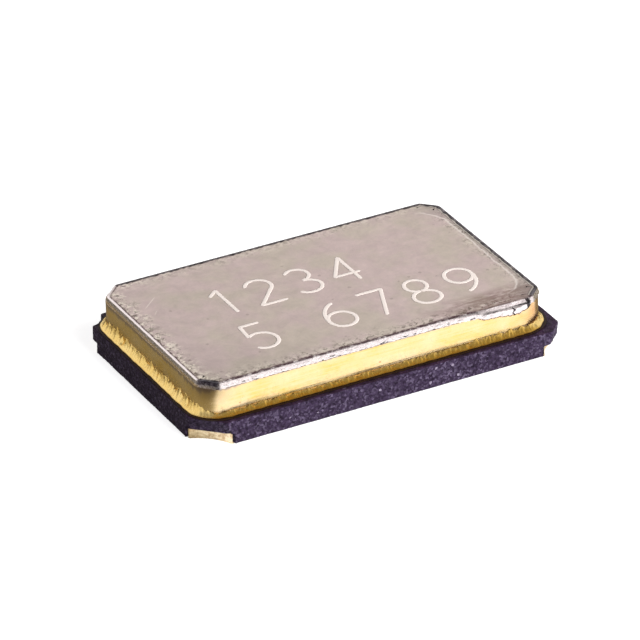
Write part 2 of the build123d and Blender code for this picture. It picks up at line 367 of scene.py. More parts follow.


# %% [markdown]
# ## The lid
#
# The lid is a stamped sheet of iron-nickel alloy with slanted corners. A pair of tapered wheels
# rolls along its edges under current: they press a narrow track into the face and melt the edge
# outside it. The melted edge is a row of overlapping spots, so its side ripples, and near the front
# right corner it has run down over the frame's wall. The profile goes from the flat face through the
# track, over the crest and down the side to the frame. A second profile, with the run, is mixed in
# where the metal ran. Marks on the points tell the finish where the melted edge, the track, the soot
# and the painted shade and highlights are.

# %% Where the stack sits and how the sides are told apart
STACK_SHIFT = np.array([-0.022, 0.0, 0.0])  # frame and lid were brazed on a little to the left
STACK_GROWTH = 0.026  # and have spread by this much along their length


def bump_at(value, middle, reach):
    """A smooth bell: exp(-((value - middle) / reach)^2)."""
    return np.exp(-(((value - middle) / reach) ** 2))


def near_corner(outline, side, reach):
    """A bell round one corner of an outline, by the distance from the corner's tip."""
    tip = np.abs(outline[0]).max(0) * side
    return bump_at(np.linalg.norm(outline[0] - tip, axis=1), 0, reach)


print("frame and lid sit", STACK_SHIFT[0], "mm along X and spread by", STACK_GROWTH, "mm")

# %% Profiles of the lid's edge
LID_CUTS = (0.19, 0.225, 0.19, 0.19)  # of its slanted corners, in the order of QUARTERS
LID_CORNER = 0.09  # radius of the bend at both ends of a slanted corner
LID_ROWS = 60
FACE_DROP = 0.002  # the face lies this far under the marking and the bead's crest
TRACK_DEPTH = 0.006
RUN_DOWN = 0.112  # how far the run of weld metal hangs down the frame's wall
lid_face = LID_TOP - FACE_DROP
lid_outline = slanted_outline(LID_LENGTH + STACK_GROWTH, LID_WIDTH, LID_CUTS, LID_CORNER)
over_crest = [
    (-0.092, lid_face, 0),
    (-0.070, lid_face, 0.006),
    (-0.060, lid_face - TRACK_DEPTH, 0.004),
    (-0.052, lid_face - TRACK_DEPTH, 0.004),
    (-0.022, LID_TOP - 0.0005, 0.002),
    (-0.018, LID_TOP, 0.006),
    (-0.004, LID_TOP - 0.005, 0.004),
]
down_side = [
    (0.004, LID_TOP - 0.026, 0.012),
    (0.021, RING_TOP - 0.008, 0.003),
    (0.012, RING_TOP - 0.012, 0),
]
down_run = [
    (0.012, RING_TOP + 0.014, 0.008),
    (0.036, RING_TOP - 0.010, 0.012),
    (0.036, RING_TOP - 0.70 * RUN_DOWN, 0.022),
    (0.015, RING_TOP - RUN_DOWN, 0),
]
plain_edge = rounded_profile(over_crest + down_side, rows=LID_ROWS)
run_edge = rounded_profile(over_crest + down_run, rows=LID_ROWS)
print("profiles of the lid's edge:", plain_edge.shape, run_edge.shape)

# %% [markdown]
# ## Where the weld metal ran
#
# A mask for each side comes from the outline's outward direction. The run is a share of the second
# profile that rises and falls along the front: the outer edge moves over early and the height
# follows, so that the run starts as a thin lip. The bead's ripple and sag, the overlapping spots
# and the wandering track are small waves on top of that.

# %% Surface of the lid
SPOTS = 236  # weld spots round the whole edge
RUN_LIP = (0.9, 1.3)  # millimetres along X: where the edge starts to lean out over the frame,
RUN_RISES = ((1.34, 1.50), (1.50, 1.84))  # where the run grows, in two steps,
RUN_SINKS = (1.88, 2.04)  # where it shrinks
RUN_STOPS = (2.13, 2.06)  # and where it ends
lid_share = way_round(lid_outline)
lid_x = lid_outline[0][:, 0]
facing_x, facing_y = lid_outline[1].T
on_front, on_back = smooth_step(-0.6, -0.95, facing_y), smooth_step(0.6, 0.95, facing_y)
on_left, on_right = smooth_step(-0.5, -0.9, facing_x), smooth_step(0.3, 0.7, facing_x)
run_amount = sum(0.5 * smooth_step(*rise, lid_x) for rise in RUN_RISES)
run_amount = run_amount * (1 - 0.4 * smooth_step(*RUN_SINKS, lid_x))
run_amount = on_front * (0.16 * smooth_step(*RUN_LIP, lid_x) + run_amount)
run_amount = run_amount * smooth_step(*RUN_STOPS, lid_x)
run_amount = run_amount * (1 + 0.05 * ripples(lid_share, (14, 70), 40, 3))
run_amount = np.clip(run_amount, 0, 1.15)
run_mix = np.stack([smooth_step(0.02, 0.30, run_amount), run_amount], 1)
lid_profile = (1 - run_mix) * plain_edge[:, None] + run_mix * run_edge[:, None]
lid_heights = lid_profile[..., 1]
out, height = plain_edge[:, :1], plain_edge[:, 1:]
on_bead = smooth_step(-0.036, -0.026, out)
on_side = on_bead * smooth_step(LID_TOP - 0.005, LID_TOP - 0.03, height)
spots = -np.abs(np.sin(pi * lid_share * SPOTS + 0.8 * ripples(lid_share, (3, 40), 12, 2)))
lid_grid_share = np.broadcast_to(lid_share, lid_heights.shape)
bead_ripple = 0.0006 * waves(lid_grid_share, lid_heights, (60, 520), 34, 80, 5)
bead_sag = (0.0008 + 0.0022 * on_front) * ripples(lid_share, (8, 240), 50, 7)
in_track = smooth_step(-0.080, -0.062, out) * (1 - on_bead)
track_wander = 0.0030 * ripples(lid_share, (2, 90), 40, 9)
filled = 0.3 + 0.5 * on_front - 0.4 * ripples(lid_share, (10, 200), 50, 10)
lid_shift = on_bead * (bead_ripple - 0.0022) + on_side * (0.0006 + 0.0014 * on_front) * spots
lid_lift = on_side * bead_sag + (lid_face - lid_heights) * in_track * filled
lid_rim = sweep(lid_outline, lid_profile, lid_shift + in_track * track_wander, lid_lift)
lid_rim[..., 2] = np.minimum(lid_rim[..., 2], LID_TOP)
face_shares = np.concatenate([np.linspace(0.08, 0.8, 6), np.linspace(0.84, 0.925, 6)])
lid_grid = np.concatenate(
    [spread(lid_outline, face_shares, lid_face), lid_rim, spread(lid_outline, [0.9, 0.3], RING_TOP)]
)
print("the run covers", int((run_amount > 0.5).sum()), "of", len(lid_x), "columns of the lid")

# %% [markdown]
# ## What the weld left on the lid
#
# A finish can't know where the weld wheels went, so each point carries marks from 0 to 1, worked out
# from its place on the profile and round the outline: melted metal, the track with its soot and
# painted shade, a painted highlight along the track on the right, gold that wicked up on the left,
# soot with painted shade at the corners, painted shade on and under the crest at the left, right and
# back, the run and two cracks across it.

# %% Marks on the lid
CRACK_X, SPLIT_X = 1.87, 2.075  # a fine crack in the run, and the gap at its end
from_tip = np.linalg.norm(lid_outline[0] + np.abs(lid_outline[0]).max(0), axis=1)
corner_soot_and_shade = (
    1.3 * smooth_step(0.235, 0.175, from_tip)
    + 0.35 * near_corner(lid_outline, (1, -1), 0.20)
    + 0.30 * near_corner(lid_outline, (-1, 1), 0.16)
    + 0.45 * near_corner(lid_outline, (1, 1), 0.20)
)
on_crest = smooth_step(LID_TOP - 0.014, LID_TOP - 0.008, height)
right_crest_shade = 0.95 * smooth_step(-0.060, -0.050, out) * on_crest
# Soot at the corners, with painted shade there and on and under the crest at the left, right and back
soot_and_shade = (
    np.clip(corner_soot_and_shade, 0, 1) * smooth_step(-0.085, -0.055, out),
    0.62 * on_left * smooth_step(LID_TOP - 0.008, LID_TOP - 0.018, height),
    on_right * (0.5 * bump_at(out, -0.076, 0.008) + right_crest_shade),
    on_back * 0.9 * smooth_step(-0.058, -0.048, out) * on_crest,
)
# The track's dark line is soot and painted shade: shade in the groove and on the crest's front slope
front_track = 2.2 * on_front * (1 - 0.75 * smooth_step(0, 0.4, run_amount))
track_soot_and_shade = front_track * bump_at(out, -0.030, 0.022) + on_left * 1.5 * bump_at(out, -0.042, 0.011)
# A painted highlight along the track on the right
painted_highlight_mark = on_right * bump_at(out, -0.058, 0.011)
wicked = on_left * smooth_step(RING_TOP + 0.040, RING_TOP + 0.008, height)
cracks = bump_at(lid_x + 0.012 * np.sin(90 * lid_heights), CRACK_X, 0.016)
cracks = np.maximum(cracks * (lid_heights < RING_TOP + 0.01), bump_at(lid_x, SPLIT_X, 0.03))


def lid_mark(rim_rows):
    """A mark for every point of the lid: 0 on the faces, the rim's own values between them."""
    whole = np.zeros(lid_grid.shape[:2])
    whole[len(face_shares) : -2] = rim_rows
    return pole_mark(whole)


lid = make_piece(
    "lid_shell",
    [closed_skin(lid_grid + STACK_SHIFT)],
    ["lid"],
    {
        "weld_bead": lid_mark(on_bead),
        "track": lid_mark(track_soot_and_shade),
        "painted_track_highlight": lid_mark(painted_highlight_mark),
        "gold_wicked": lid_mark(wicked),
        "corner_soot_and_shade": lid_mark(np.maximum.reduce(soot_and_shade)),
        "ran_down": lid_mark(on_bead * run_amount),
        "cracks": lid_mark(on_bead * cracks * on_front),
    },
)

# %% [markdown]
# ## The metal frame
#
# The frame between ceramic and lid is punched from the same alloy and gold-plated. It is a ring: its
# profile goes down the outer wall, in under it, up the inner wall and back over the top, and the
# last row joins the first. The two walls follow different outlines, so the profile is two halves.
# The weld's heat has burnt the plating grey along the top of the wall, least along the front, and
# painted shade under the lid darkens the same band. It has tinted the front right and back left
# corners brown, and painted shade darkens the front left one.

# %% Seal ring
RING_WALL = 0.36
RING_CORNER = 0.34
RING_INNER_CORNER = 0.16
RING_EDGE = 0.010
ring_outline = rounded_outline(RING_LENGTH + STACK_GROWTH, RING_WIDTH, RING_CORNER)
ring_inner_outline = rounded_outline(
    RING_LENGTH - 2 * RING_WALL, RING_WIDTH - 2 * RING_WALL, RING_INNER_CORNER
)
wall_corners = [
    (-0.05, RING_TOP, 0),
    (0, RING_TOP, RING_EDGE),
    (0, RING_BOTTOM, RING_EDGE),
    (-0.05, RING_BOTTOM, 0),
]
wall_half = rounded_profile(wall_corners, spacing=0.018)
inner_half = wall_half[::-1] * (-1, 1)  # the same wall, seen from the cavity
ring_share = way_round(ring_outline)
ring_shape = (len(wall_half), len(ring_share))
ring_grid_share = np.broadcast_to(ring_share, ring_shape)
ring_grid_height = np.broadcast_to(wall_half[:, 1:], ring_shape)
on_wall = smooth_step(-0.012, 0.0, wall_half[:, :1])
wall_wander = 0.0007 * waves(ring_grid_share, ring_grid_height, (1, 26), 5, 40, 11) - 0.0012
ring_grid = np.concatenate(
    [sweep(ring_outline, wall_half, on_wall * wall_wander), sweep(ring_inner_outline, inner_half)]
)
ring_front = smooth_step(-0.55, -0.9, ring_outline[1][:, 1])
# Burnt plating and painted shade under the lid, in one band
burn_and_shade_depth = 0.062 - 0.050 * ring_front  # how far down from the top, deeper at both left corners
burn_and_shade_depth = burn_and_shade_depth + 0.050 * near_corner(ring_outline, (-1, -1), 0.40)
burn_and_shade_depth = burn_and_shade_depth + 0.050 * near_corner(ring_outline, (-1, 1), 0.55)
burn_and_shade_depth = burn_and_shade_depth * (1 + 0.25 * ripples(ring_share, (8, 240), 50, 13))
burn_and_shade_depth = np.clip(burn_and_shade_depth, 0.004, None)
below_top = wall_half[:, 1:] - RING_TOP
burnt_and_shaded = smooth_step(-burn_and_shade_depth, -0.3 * burn_and_shade_depth, below_top)
tinted = near_corner(ring_outline, (1, -1), 0.30) + 0.7 * near_corner(ring_outline, (-1, 1), 0.30)
# Painted shade at the front left corner
painted_corner_shade = 0.85 * near_corner(ring_outline, (-1, -1), 0.24) * smooth_step(-0.30, -0.02, below_top)


def ring_mark(outer_rows):
    """A mark for every point of the frame: its outer half's values, and 0 on the inner half."""
    return np.concatenate([np.broadcast_to(outer_rows, ring_shape), np.zeros(ring_shape)]).ravel()


ring = make_piece(
    "seal_ring_plated",
    [closed_skin(ring_grid + STACK_SHIFT, ring=True)],
    ["seal_ring"],
    {"weld_burn_and_shade": ring_mark(burnt_and_shaded), "heat_tint": ring_mark(tinted), "front_left_shade": ring_mark(painted_corner_shade)},
)

# %% [markdown]
# ## The braze
#
# Molten silver-copper braze ran between frame and ceramic, climbed the wall and froze as a hollow
# fillet with a thin foot around it. Its upper edge is ragged, because it wets the plated wall in
# fine fingers, and it cooled in upright ridges. The fillet is a quarter circle whose height and
# reach are multiplied by a number that changes round the outline.

# %% Braze joint
FILLET = 0.055
FOOT = 0.016
INNER_FOOT = 0.005
TUCK = 0.004  # the hidden part of the braze reaches this far into the frame
HOLLOWNESS = 0.35  # 1 is a quarter circle, 0 a straight slope
FILLET_ROWS = 15
fillet_turn = np.linspace(0, pi / 2, FILLET_ROWS)
slope = np.linspace(0, 1, FILLET_ROWS)
fillet_out = FILLET * (HOLLOWNESS * (1 - np.cos(fillet_turn)) + (1 - HOLLOWNESS) * slope)
fillet_rise = FILLET * (HOLLOWNESS * (1 - np.sin(fillet_turn)) + (1 - HOLLOWNESS) * (1 - slope))
ring_left = smooth_step(-0.45, -0.9, ring_outline[1][:, 0])
fingers = ripples(ring_share, (110, 560), 80, 21)
finger_height = 1.0 + 0.16 * ripples(ring_share, (3, 60), 30, 22)
finger_height = finger_height + 0.16 * ripples(ring_share, (50, 130), 40, 26)
finger_height = finger_height + 0.15 * np.clip(fingers, 0, 3) ** 1.3
finger_height = np.clip(finger_height, 0.5, 2.0) * (1 + 0.65 * ring_left)
less_in_front = ring_front * smooth_step(1.9, -0.4, ring_outline[0][:, 0])
finger_height = finger_height * (1 - 0.45 * less_in_front)
fillet_reach = 1 + 0.15 * ring_left


def fillet_rows(outline, side, climb, width, foot):
    """Rows from the top of a fillet down to the edge of its foot; side is 1 outside, -1 inside."""
    reach = np.concatenate([[-TUCK], fillet_out, [FILLET + foot - 0.004, FILLET + foot]])
    rise = np.concatenate([[FILLET], fillet_rise, [0, -0.005]])
    out = side * reach[:, None] * width
    return sweep(outline, np.dstack([out, RING_BOTTOM + rise[:, None] * climb]))


fillet_shape = (FILLET_ROWS, len(ring_share))
fillet_share = np.broadcast_to(ring_share, fillet_shape)
fillet_height = np.broadcast_to(fillet_rise[:, None], fillet_shape)
lumps = 0.0016 * waves(fillet_share, fillet_height, (40, 300), 14, 60, 23)
ridges = 0.0020 * waves(fillet_share, fillet_height, (160, 560), 3, 80, 25)
relief = (lumps + ridges) * np.sin(2 * fillet_turn)[:, None]
outer_fillet = fillet_rows(ring_outline, 1, finger_height, fillet_reach, FOOT)
outer_fillet[1:-2, :, :2] += relief[..., None] * ring_outline[1]
outer_fillet[1:-2, :, 2] += relief
foot_wander = 0.003 * ripples(ring_share, (6, 120), 40, 24) - 0.004
outer_fillet[-2:, :, :2] += foot_wander[None, :, None] * ring_outline[1]
even = np.ones(len(ring_share))
inner_fillet = fillet_rows(ring_inner_outline, -1, even, even, INNER_FOOT)
under_edge = np.array([[FILLET + FOOT, BRAZE_BOTTOM]])
under_inner = np.array([[-FILLET - INNER_FOOT, BRAZE_BOTTOM]])
seat = np.array([[-TUCK, RING_BOTTOM + TUCK]])
braze_grid = np.concatenate(
    [
        outer_fillet,
        sweep(ring_outline, under_edge, foot_wander),
        sweep(ring_inner_outline, under_inner),
        inner_fillet[::-1],
        sweep(ring_inner_outline, -seat * (1, -1)),
        sweep(ring_outline, seat),
    ]
)
foot_mark = np.zeros(braze_grid.shape[:2])
foot_mark[: len(outer_fillet)] = np.linspace(0, 1, len(outer_fillet))[:, None]
foot_mark[len(outer_fillet) : len(outer_fillet) + 2] = 1.0
braze = make_piece(
    "braze_fillet",
    [closed_skin(braze_grid + STACK_SHIFT, ring=True)],
    ["braze_joint"],
    {"way_down": foot_mark.ravel()},
)

# %% [markdown]
# ## The fired metal band
#
# Under the braze, the ceramic carries a printed and fired tungsten band that the braze can wet. It
# shows only as a thin dark line, so it is a plain flat ring with a slightly ragged edge; its finish
# is darkened to a painted shadow under the braze.

# %% Metallized band
BAND_TUCK, BAND_REACH, BAND_EDGE = 0.02, 0.105, 0.003
band_corners = [
    (BAND_TUCK, BRAZE_BOTTOM, 0),
    (BAND_REACH, BRAZE_BOTTOM, BAND_EDGE),
    (BAND_REACH, CERAMIC_TOP, BAND_EDGE),
    (BAND_TUCK, CERAMIC_TOP, 0),
]
band_half = rounded_profile(band_corners, spacing=0.03)
band_inner = band_half[::-1] * (-1, 1) + (0.03, 0)
band_wander = 0.0025 * ripples(ring_share, (10, 160), 40, 31) - 0.003
band_grid = np.concatenate(
    [sweep(ring_outline, band_half, band_wander), sweep(ring_inner_outline, band_inner)]
)
band = make_piece(
    "fired_band",
    [closed_skin(band_grid + STACK_SHIFT, ring=True)],
    ["seal_metallization"],
)

# %% [markdown]
# ## The ceramic base
#
# Two sheets of unfired ceramic are stacked, fired together and snapped apart along scored lines. The
# lower sheet was punched with a hole at each corner before it was snapped, which leaves the corner
# hollows; the upper one has slanted corners, which grow a little downwards, and the window that
# forms the cavity. One skin covers it all: from the middle of the cavity floor out, up the cavity's
# wall, over the rim, down the snapped sides and in under the bottom. The sides are rough and their
# edges are chipped.

# %% Ceramic base
CAVITY_CORNER = 0.2
LAYER_STEP = 0.004  # the lower sheet lies back by this much
CAVITY_MARGIN = 0.07  # cavity wall to the frame's inner wall
upper_outline = slanted_outline(LENGTH, WIDTH, SLANT_CUTS_TOP, SLANT_ROUNDING, SLANT_DENTS)
upper_outline_low = slanted_outline(LENGTH, WIDTH, SLANT_CUTS_LOW, SLANT_ROUNDING, SLANT_DENTS)
cavity_outline = rounded_outline(
    RING_LENGTH - 2 * RING_WALL - 2 * CAVITY_MARGIN,
    RING_WIDTH - 2 * RING_WALL - 2 * CAVITY_MARGIN,
    CAVITY_CORNER,
)
lower_outline = join_corners([hollow_arc(side, 0.0) for side in QUARTERS])
upper_corners = [
    (-0.05, CERAMIC_TOP, 0),
    (0, CERAMIC_TOP, 0.007),
    (0, LAYER_SPLIT, 0.0015),
    (-0.002, LAYER_SPLIT, 0),
]
lower_corners = [
    (-LAYER_STEP + 0.001, LAYER_SPLIT, 0),
    (-LAYER_STEP, LAYER_SPLIT - 0.004, 0.002),
    (-LAYER_STEP, PAD_TOP, 0.007),
    (-0.04, PAD_TOP, 0),
]
upper_profile = rounded_profile(upper_corners, spacing=0.014)
lower_profile = rounded_profile(lower_corners, spacing=0.014)


def snapped(outline, profile, seed):
    """How far a snapped side lies behind its outline: broad hollows, fine grit and chipped edges.

    Chips are the peaks of a wave sum, kept only above a threshold and near the profile's edges.
    """
    share = np.broadcast_to(way_round(outline), (len(profile), len(outline[0])))
    height = np.broadcast_to(profile[:, 1:], share.shape)
    broad = 0.0016 * waves(share, height, (2, 40), 4, 40, seed)
    grit = 0.0013 * waves(share, height, (140, 560), 30, 90, seed + 1)
    chips = np.clip(waves(share, height, (30, 260), 8, 60, seed + 2) - 1.5, 0, 1.5)
    ends = np.minimum(np.abs(height - height.max()), np.abs(height - height.min()))
    near_edge = 1 - smooth_step(0.0, 0.03, ends)
    on_side = smooth_step(-0.02, -0.004, profile[:, :1])
    return on_side * (broad + grit - 0.004 - 0.009 * chips * near_edge)


roughness = snapped(upper_outline, upper_profile, 41)
depth_share = smooth_step(CERAMIC_TOP, LAYER_SPLIT, upper_profile[:, 1])[:, None, None]
upper_rows = (1 - depth_share) * sweep(upper_outline, upper_profile, roughness)
upper_rows += depth_share * sweep(upper_outline_low, upper_profile, roughness)
ceramic_grid = np.concatenate(
    [
        spread(cavity_outline, [0.2, 0.95], LAYER_SPLIT),
        sweep(cavity_outline, np.array([[0, LAYER_SPLIT], [0, CERAMIC_TOP]])),
        upper_rows,
        sweep(lower_outline, lower_profile, snapped(lower_outline, lower_profile, 51)),
        spread(lower_outline, [0.9, 0.3], PAD_TOP),
    ]
)
ceramic = make_piece("ceramic_body", [closed_skin(ceramic_grid)], ["ceramic_base"])

# %% [markdown]
# ## The terminals
#
# Each corner has a gold-plated pad underneath, and the plating climbs the corner hollow, so that
# solder can be seen to wet it. The pad is a flat skin over a rounded outline whose outer corner
# follows the hollow. The climbing part is a thin slab carried along the hollow's arc.

# %% Terminals
PLATING = 0.012
PAD_LENGTH, PAD_WIDTH = 1.15, 0.95
PAD_MARGIN = 0.05
PAD_CORNER = 0.06
PAD_QUARTER_STEPS = 8


def pad_outline(side):
    """A pad's outline at the +X +Y corner: three rounded corners and its own corner's hollow."""
    far = np.array([LENGTH / 2 - PAD_MARGIN, WIDTH / 2 - PAD_MARGIN])
    near = far - (PAD_LENGTH, PAD_WIDTH)
    hollow = hollow_arc(side, -PLATING, PAD_MARGIN)[0] * side
    arcs = [hollow[:: side[0] * side[1]]]
    corners = ((near[0], far[1]), (near[0], near[1]), (far[0], near[1]))
    for quarter, (corner, inward) in enumerate(zip(corners, ((1, -1), (1, 1), (-1, 1))), 1):
        around = spokes(quarter * 90, quarter * 90 + 90, PAD_QUARTER_STEPS)
        arcs.append(np.array(corner) + PAD_CORNER * (np.array(inward) + around))
    return np.concatenate(arcs)


def pad_skin(side):
    """A flat pad: its outline shrunk towards its middle, with a small rounding at both edges."""
    plan = pad_outline(side)
    middle = plan.mean(0)
    shares = np.array([0.5, 0.985, 0.996, 1.0, 1.0, 0.996, 0.985, 0.5])
    heights = PAD_TOP * np.array([1, 1, 0.93, 0.8, 0.2, 0.07, 0, 0])
    rows = middle + shares[:, None, None] * (plan - middle)[None]
    grid = np.dstack([rows, np.broadcast_to(heights[:, None], rows.shape[:2])])
    return closed_skin(grid * (*side, 1))


def climbing_skin(side, seed):
    """The plating up a hollow: an upright slab whose columns go round its section."""
    inner, towards_centre = (part[2:-2] for part in hollow_arc(side, 0.002))
    low, high, thick = 0.004, LAYER_SPLIT - 0.001, PLATING + 0.002
    corners = [(0, low, 0), (thick, low, 0.004), (thick, high, 0.003), (0, high, 0)]
    section = rounded_profile(corners, spacing=0.009)
    outside = section[None, :, 0] > PLATING / 2
    along, height = np.broadcast_arrays(np.linspace(0, 1, len(inner))[:, None], section[None, :, 1])
    wander = 0.0012 * waves(along, height, (2, 22), 25, 50, seed) - 0.0010
    out = section[None, :, 0] + wander * outside
    plan = inner[:, None] + out[..., None] * towards_centre[:, None]
    return closed_skin(np.dstack([plan, height]))


terminals = []
for number, side in enumerate(((-1, -1), (1, -1), (1, 1), (-1, 1)), 1):
    skins = [pad_skin(side), climbing_skin(side, 60 + number)]
    terminals.append(
        make_piece(f"terminal_plating_{number}", skins, [f"terminal_{number}"])
    )

# %% [markdown]
# ## The marking
#
# A laser writes a short code on the lid by frosting the metal in single strokes. This lid carries
# only counting numbers in the same kind of lettering. Each digit is drawn as lines and arcs in a box
# of its own, and a low rounded bead is carried along each stroke: half an ellipse across it, and
# narrowing at both ends by the same half circle that a round spot leaves.

# %% Strokes of the digits
STROKE_WIDTH = 0.054
STROKE_SECTION = 8
STROKE_STEP = 0.012
STROKE_ROOT = 0.004  # how deep the hidden underside of a stroke reaches


def arc(x, y, radius_x, radius_y, first, last):
    """Points on part of an ellipse: centre plus radii times (cos, sin), angles in degrees."""
    angle = np.radians(np.linspace(first, last, 25))
    return np.stack([x + radius_x * np.cos(angle), y + radius_y * np.sin(angle)], 1)


# Each digit is one or more strokes in a box 0.35 mm wide and 0.62 mm high
DIGITS = {
    "1": [[(0.08, 0.50), (0.22, 0.62), (0.22, 0.0)]],
    "2": [np.concatenate([arc(0.175, 0.455, 0.165, 0.165, 165, -38), [(0.0, 0.0), (0.35, 0.0)]])],
    "3": [
        np.concatenate(
            [arc(0.165, 0.470, 0.15, 0.15, 150, -90), arc(0.165, 0.16, 0.175, 0.16, 90, -150)]
        )
    ],
    "4": [[(0.26, 0.0), (0.26, 0.62), (0.0, 0.19), (0.35, 0.19)]],
    "5": [
        np.concatenate(
            [[(0.31, 0.62), (0.05, 0.62), (0.03, 0.33)], arc(0.155, 0.195, 0.185, 0.195, 128, -140)]
        )
    ],
    "6": [
        np.concatenate(
            [arc(0.36, 0.20, 0.36, 0.42, 108, 180), arc(0.175, 0.185, 0.175, 0.185, 180, 540)]
        )
    ],
    "7": [[(0.0, 0.62), (0.35, 0.62), (0.11, 0.0)]],
    "8": [arc(0.175, 0.470, 0.14, 0.15, -90, 270), arc(0.175, 0.160, 0.175, 0.16, -270, 90)],
    "9": [
        np.concatenate([arc(-0.01, 0.42, 0.36, 0.42, -72, 0), arc(0.175, 0.435, 0.175, 0.185, 0, 360)])
    ],
}


def stroke_skin(line, corner_x, corner_y):
    """A low bead along a line on the lid: across is half width times cos, up is height times sin.

    Both shrink near the line's ends by sqrt(1 - d^2), d being the depth into the round end.
    """
    line = np.asarray(line, float)
    whole, half = length_along(line)[-1], STROKE_WIDTH / 2
    ends = half * (1 - np.cos(np.linspace(0.12, pi / 2, 5)))
    even = np.linspace(0, whole, int(whole / STROKE_STEP))
    between_ends = even[(even > half) & (even < whole - half)]
    stops = np.unique(np.concatenate([ends, between_ends, whole - ends]))
    path = at_stops(line, stops)
    ahead = np.gradient(path, axis=0)
    ahead /= np.linalg.norm(ahead, axis=1, keepdims=True)
    depth = np.clip(1 - np.minimum(stops, whole - stops) / half, 0, 1)
    shrink = np.sqrt(1 - depth**2)
    turn = np.linspace(0, 2 * pi, STROKE_SECTION, endpoint=False)
    across = half * np.cos(turn)[None] * shrink[:, None]
    up = np.where(np.sin(turn) > 0, FACE_DROP, STROKE_ROOT) * np.sin(turn)
    up = up[None] * shrink[:, None]
    side = np.stack([-ahead[:, 1], ahead[:, 0]], 1)
    plan = path[:, None] + across[..., None] * side[:, None] + (corner_x, corner_y)
    return closed_skin(np.dstack([plan, lid_face + up]))


# %% Digits on the lid
UPPER_ROW, LOWER_ROW = 0.035, -0.935
# Each run of digits is given by its left end, its foot and the pitch of its digits
ROWS_OF_DIGITS = (
    ("1234", -1.365, UPPER_ROW, 0.55),
    ("5", -1.365, LOWER_ROW, 0.58),
    ("6789", -0.31, LOWER_ROW, 0.58),
)
digit_skins = [
    stroke_skin(stroke, left + place * pitch, bottom)
    for digits, left, bottom, pitch in ROWS_OF_DIGITS
    for place, digit in enumerate(digits)
    for stroke in DIGITS[digit]
]
marking = make_piece("lid_marking", digit_skins, ())

# %% [markdown]
# ## Nodes in few words
#
# A finish is a small web of shader nodes. add_node adds one, sets its options, fills its sockets and
# gives its outputs. An output is kept as a Wire, and a sum written with wires adds the nodes that
# work it out, so that a pattern reads like a formula. Patterns are measured on Object coordinates,
# scaled so that one unit is a millimetre.

# %% Wires and nodes


class Wire:
    """One output of a node. + - * and abs() on it give the wire of a new node."""

    __array_ufunc__ = None  # numpy leaves a sum of its number and a wire to the wire

    def __init__(self, tree, socket):
        self.tree, self.socket = tree, socket

    def __add__(self, other):
        return calculate("ADD", self, other)

    def __sub__(self, other):
        return calculate("SUBTRACT", self, other)

    def __rsub__(self, other):
        return calculate("SUBTRACT", other, self)

    def __mul__(self, other):
        return calculate("MULTIPLY", self, other)

    def __abs__(self):
        return calculate("ABSOLUTE", self)


def tree_of(*values):
    """The node tree of the first wire among some values."""
    return next(value.tree for value in values if isinstance(value, Wire))


def fill(node, **sockets):
    """Fills sockets with values or wires; a name has _ for spaces, and _0 is the first socket."""
    for key, value in sockets.items():
        socket = node.inputs[int(key[1:]) if key[1:].isdigit() else key.replace("_", " ")]
        if isinstance(value, Wire):
            value.tree.links.new(value.socket, socket)
        else:
            socket.default_value = value


def add_node(tree, kind, settings=None, **sockets):
    """Adds a node and gives a dictionary of its outputs as wires, by number and by name."""
    made = tree.nodes.new(kind)
    for key, value in (settings or {}).items():
        setattr(made, key, value)
    fill(made, **sockets)
    wires = [Wire(tree, socket) for socket in made.outputs]
    return {**dict(enumerate(wires)), **{wire.socket.name: wire for wire in wires}}


def calculate(operation, a, b=0.0):
    """One sum on two values, of which at least one is a wire."""
    return add_node(tree_of(a, b), "ShaderNodeMath", {"operation": operation}, _0=a, _1=b)[0]


# %% [markdown]
# ## Patterns and colours
#
# Nearly every pattern is a noise whose range is stretched, which makes its patches soft or crisp,
# and nearly every colour is two colours mixed by a pattern. These helpers are those few moves.

# %% Pattern and colour helpers


def linear(red, green, blue):
    """A colour given as 0 to 255, as the linear numbers that a shader wants."""
    share = np.array([red, green, blue]) / 255
    light = np.where(share <= 0.04045, share / 12.92, ((share + 0.055) / 1.055) ** 2.4)
    return (*light.tolist(), 1.0)


def millimetres(tree, stretch=(1, 1, 1)):
    """Object coordinates with one unit to the millimetre; stretch squeezes the pattern per axis."""
    place = add_node(tree, "ShaderNodeTexCoord")["Object"]
    scale = tuple(1000 * share for share in stretch)
    return add_node(tree, "ShaderNodeMapping", Vector=place, Scale=scale)[0]


def axes(place):
    """The three coordinates of a place."""
    parts = add_node(place.tree, "ShaderNodeSeparateXYZ", Vector=place)
    return parts[0], parts[1], parts[2]


def mark(tree, name):
    """One of the marks that a piece's points carry."""
    return add_node(tree, "ShaderNodeAttribute", {"attribute_name": name})["Fac"]


def noise(place, scale, detail=4.0, roughness=0.55, distortion=0.0):
    """A cloud pattern, about 0.3 to 0.7, with that many lumps to the millimetre."""
    sockets = dict(Vector=place, Scale=scale, Detail=detail, Roughness=roughness)
    return add_node(place.tree, "ShaderNodeTexNoise", Distortion=distortion, **sockets)[0]


def between(value, low, high, to_low=0.0, to_high=1.0):
    """Stretches a value's range low..high to to_low..to_high, and holds it there."""
    ends = dict(_1=low, _2=high, _3=to_low, _4=to_high)
    return add_node(value.tree, "ShaderNodeMapRange", _0=value, **ends)[0]


def blend(share, a, b, mode="MIX"):
    """Mixes two colours by a share."""
    settings = {"data_type": "RGBA", "blend_type": mode}
    return add_node(tree_of(share, a, b), "ShaderNodeMix", settings, _0=share, _6=a, _7=b)[2]


# %% [markdown]
# ## Finishes and groups
#
# A finish is a material around one Principled BSDF, and what is even all over is set on its own
# sockets. A group is built by a recipe: a function that gets the group's inputs as wires and gives
# its outputs.

# %% Finish and group helpers


